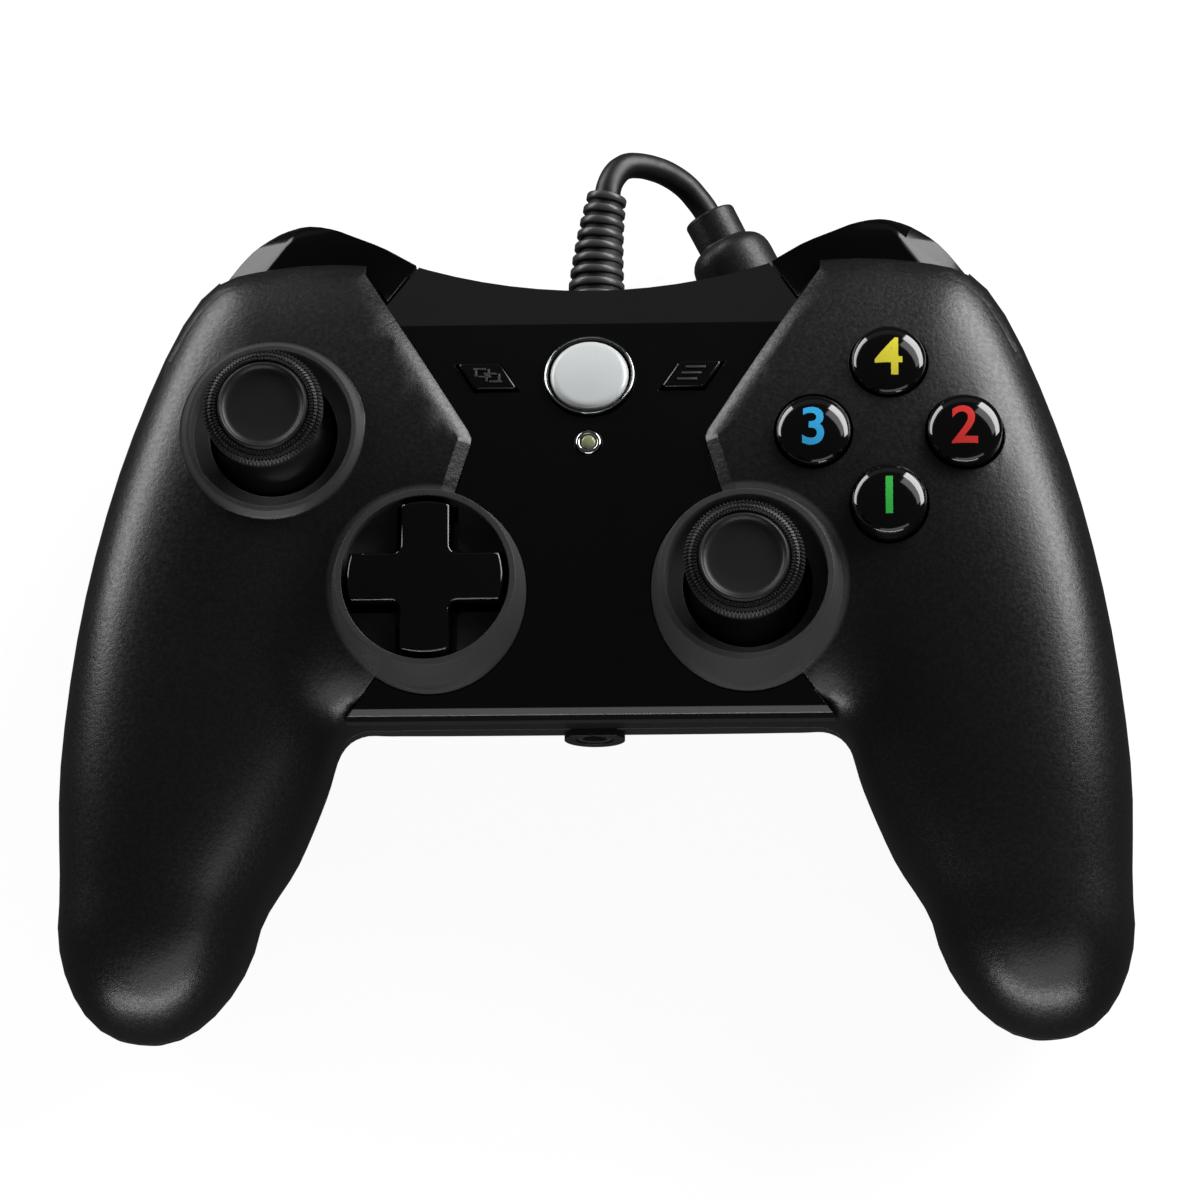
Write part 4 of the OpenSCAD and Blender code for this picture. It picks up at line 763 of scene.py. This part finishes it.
# View and menu keys
def make_key(name, x, lean, bars):
    """A slanted key with rounded edges and a raised sign of short bars."""
    place = on_panel(x, GUIDE_Y)
    long, wide = 6, 4.2
    slant = 0.3 * wide * lean
    bm = bmesh.new()
    corners = [(-long / 2 - slant, wide / 2), (-long / 2 + slant, -wide / 2),
               (long / 2 + slant, -wide / 2), (long / 2 - slant, wide / 2)]
    verts = [bm.verts.new((cx * MM, cy * MM, -3 * MM)) for cx, cy in corners]
    bm.faces.new(verts)
    rounded(bm, verts, 0.55, 4, "VERTICES")
    made = bmesh.ops.extrude_face_region(bm, geom=bm.faces[:])
    bmesh.ops.translate(
        bm, vec=(0, 0, 3.7 * MM), verts=[v for v in made["geom"] if isinstance(v, bmesh.types.BMVert)]
    )
    top = [e for e in bm.edges if all(v.co.z > 0.6 * MM for v in e.verts)]
    rounded(bm, top, 0.3, 3)
    bmesh.ops.create_cone(
        bm, cap_ends=True, segments=24, radius1=1.2 * MM, radius2=1.2 * MM, depth=3.6 * MM,
        matrix=at(0, 0, -4.75),
    )
    bmesh.ops.recalc_face_normals(bm, faces=bm.faces)
    bmesh.ops.transform(bm, matrix=place, verts=bm.verts)
    piece(f"{name}_key", bm, name, GLOSS_ABS, (f"{name}_button",), 40)
    sign = bmesh.new()
    for bx, by, length, width in bars:
        size = Matrix.Diagonal((length * MM, width * MM, 0.24 * MM, 1))
        bmesh.ops.create_cube(sign, size=1, matrix=at(bx - by * 0.6 * lean, by, 0.76) @ size)
    rounded(sign, sign.edges[:], 0.04, 2)
    bmesh.ops.transform(sign, matrix=place, verts=sign.verts)
    piece(f"{name}_sign", sign, name, NYLON, (), 40)


def frame_bars(x, y, wide, high, line):
    """The four sides of a small window sign."""
    return [(x, y + high / 2, wide, line), (x, y - high / 2, wide, line),
            (x - wide / 2, y, line, high), (x + wide / 2, y, line, high)]


make_key("menu", MENU_X, -1, [(0, y, 2.8, 0.36) for y in (-1, 0, 1)])
make_key(
    "view", -MENU_X, 1,
    frame_bars(-0.5, 0.35, 1.8, 1.3, 0.3) + frame_bars(0.55, -0.45, 1.8, 1.3, 0.3),
)


# Every other CAD node keeps its shape and takes its real finish
FINISHES = {
    STEEL: (
        "left_stick_shaft", "right_stick_shaft", "dpad_ball", "bumper_pins", "left_trigger_pin",
        "right_trigger_pin", "left_trigger_spring", "right_trigger_spring", "left_motor", "right_motor",
        "left_motor_shaft", "right_motor_shaft", "left_weight", "right_weight", "board_screws",
    ),
    BOARD: ("main_board", "trigger_sensors"),
    ACETAL: (
        "left_stick_hub", "right_stick_hub", "left_lower_rocker", "right_lower_rocker",
        "left_upper_rocker", "right_upper_rocker", "dpad_post",
    ),
    NYLON: (
        "left_stick_housing", "right_stick_housing", "stick_click_switches", "centre_switches",
        "bumper_switches", "headset_jack",
    ),
    SENSOR_BODY: ("left_stick_sensors", "right_stick_sensors"),
    SILICONE: ("dpad_membrane", "face_button_membrane"),
    GOLD: ("connector_contacts",),
}
for material, names in FINISHES.items():
    for name in names:
        slots = frame["nodes"][name].data.materials
        slots.clear()
        slots.append(material)


# Studio: a glowing pale table, soft boxes behind at the right and left, dim fills in front
def make_floor():
    """A wide table that glows but neither lights the part nor mirrors in it."""
    bm = bmesh.new()
    bmesh.ops.create_grid(bm, x_segments=1, y_segments=1, size=2.0, matrix=at(0, 0, -0.05))
    mesh = bpy.data.meshes.new("floor")
    bm.to_mesh(mesh)
    bm.free()
    mesh.materials.append(
        moulded("light_table", "#6f6f6f", 40, 0.0, None, (0.7, 0.8), 0.0,
                Emission_Color=linear("#ffffff"), Emission_Strength=0.93)
    )
    floor = bpy.data.objects.new("floor", mesh)
    scene.collection.objects.link(floor)
    floor.visible_glossy = False
    floor.visible_diffuse = False


def soft_box(name, turn, rise, reach, wide, high, watts):
    """A rectangular soft light that faces the part, placed by its bearing and height in degrees."""
    data = bpy.data.lights.new(name, "AREA")
    data.shape = "RECTANGLE"
    data.size = wide
    data.size_y = high
    data.energy = watts
    lamp = bpy.data.objects.new(name, data)
    scene.collection.objects.link(lamp)
    turn, rise = math.radians(turn), math.radians(rise)
    way = Vector((math.cos(rise) * math.cos(turn), math.cos(rise) * math.sin(turn), math.sin(rise)))
    lamp.location = way * reach + Vector((0, 0, 0.03))
    lamp.rotation_euler = (-way).to_track_quat("-Z", "Y").to_euler()


make_floor()
soft_box("right_box", 41, 19, 0.8, 0.8, 0.32, 8)
soft_box("right_top", 45, 36, 0.8, 0.6, 0.2, 0.7)
soft_box("left_box", 140, 10, 0.8, 0.75, 0.28, 4.5)
soft_box("front_fill", 285, 30, 0.9, 1.1, 0.35, 1.5)
soft_box("front_low", 268, 4, 0.9, 1.2, 0.14, 5)
soft_box("back_wall", 93, 14, 0.9, 0.9, 0.26, 0.09)

world = bpy.data.worlds.new("studio")
world.use_nodes = True
sky = world.node_tree.nodes["Background"]
sky.inputs["Color"].default_value = linear("#ffffff")
sky.inputs["Strength"].default_value = 0.045
scene.world = world
scene.view_settings.view_transform = "Standard"
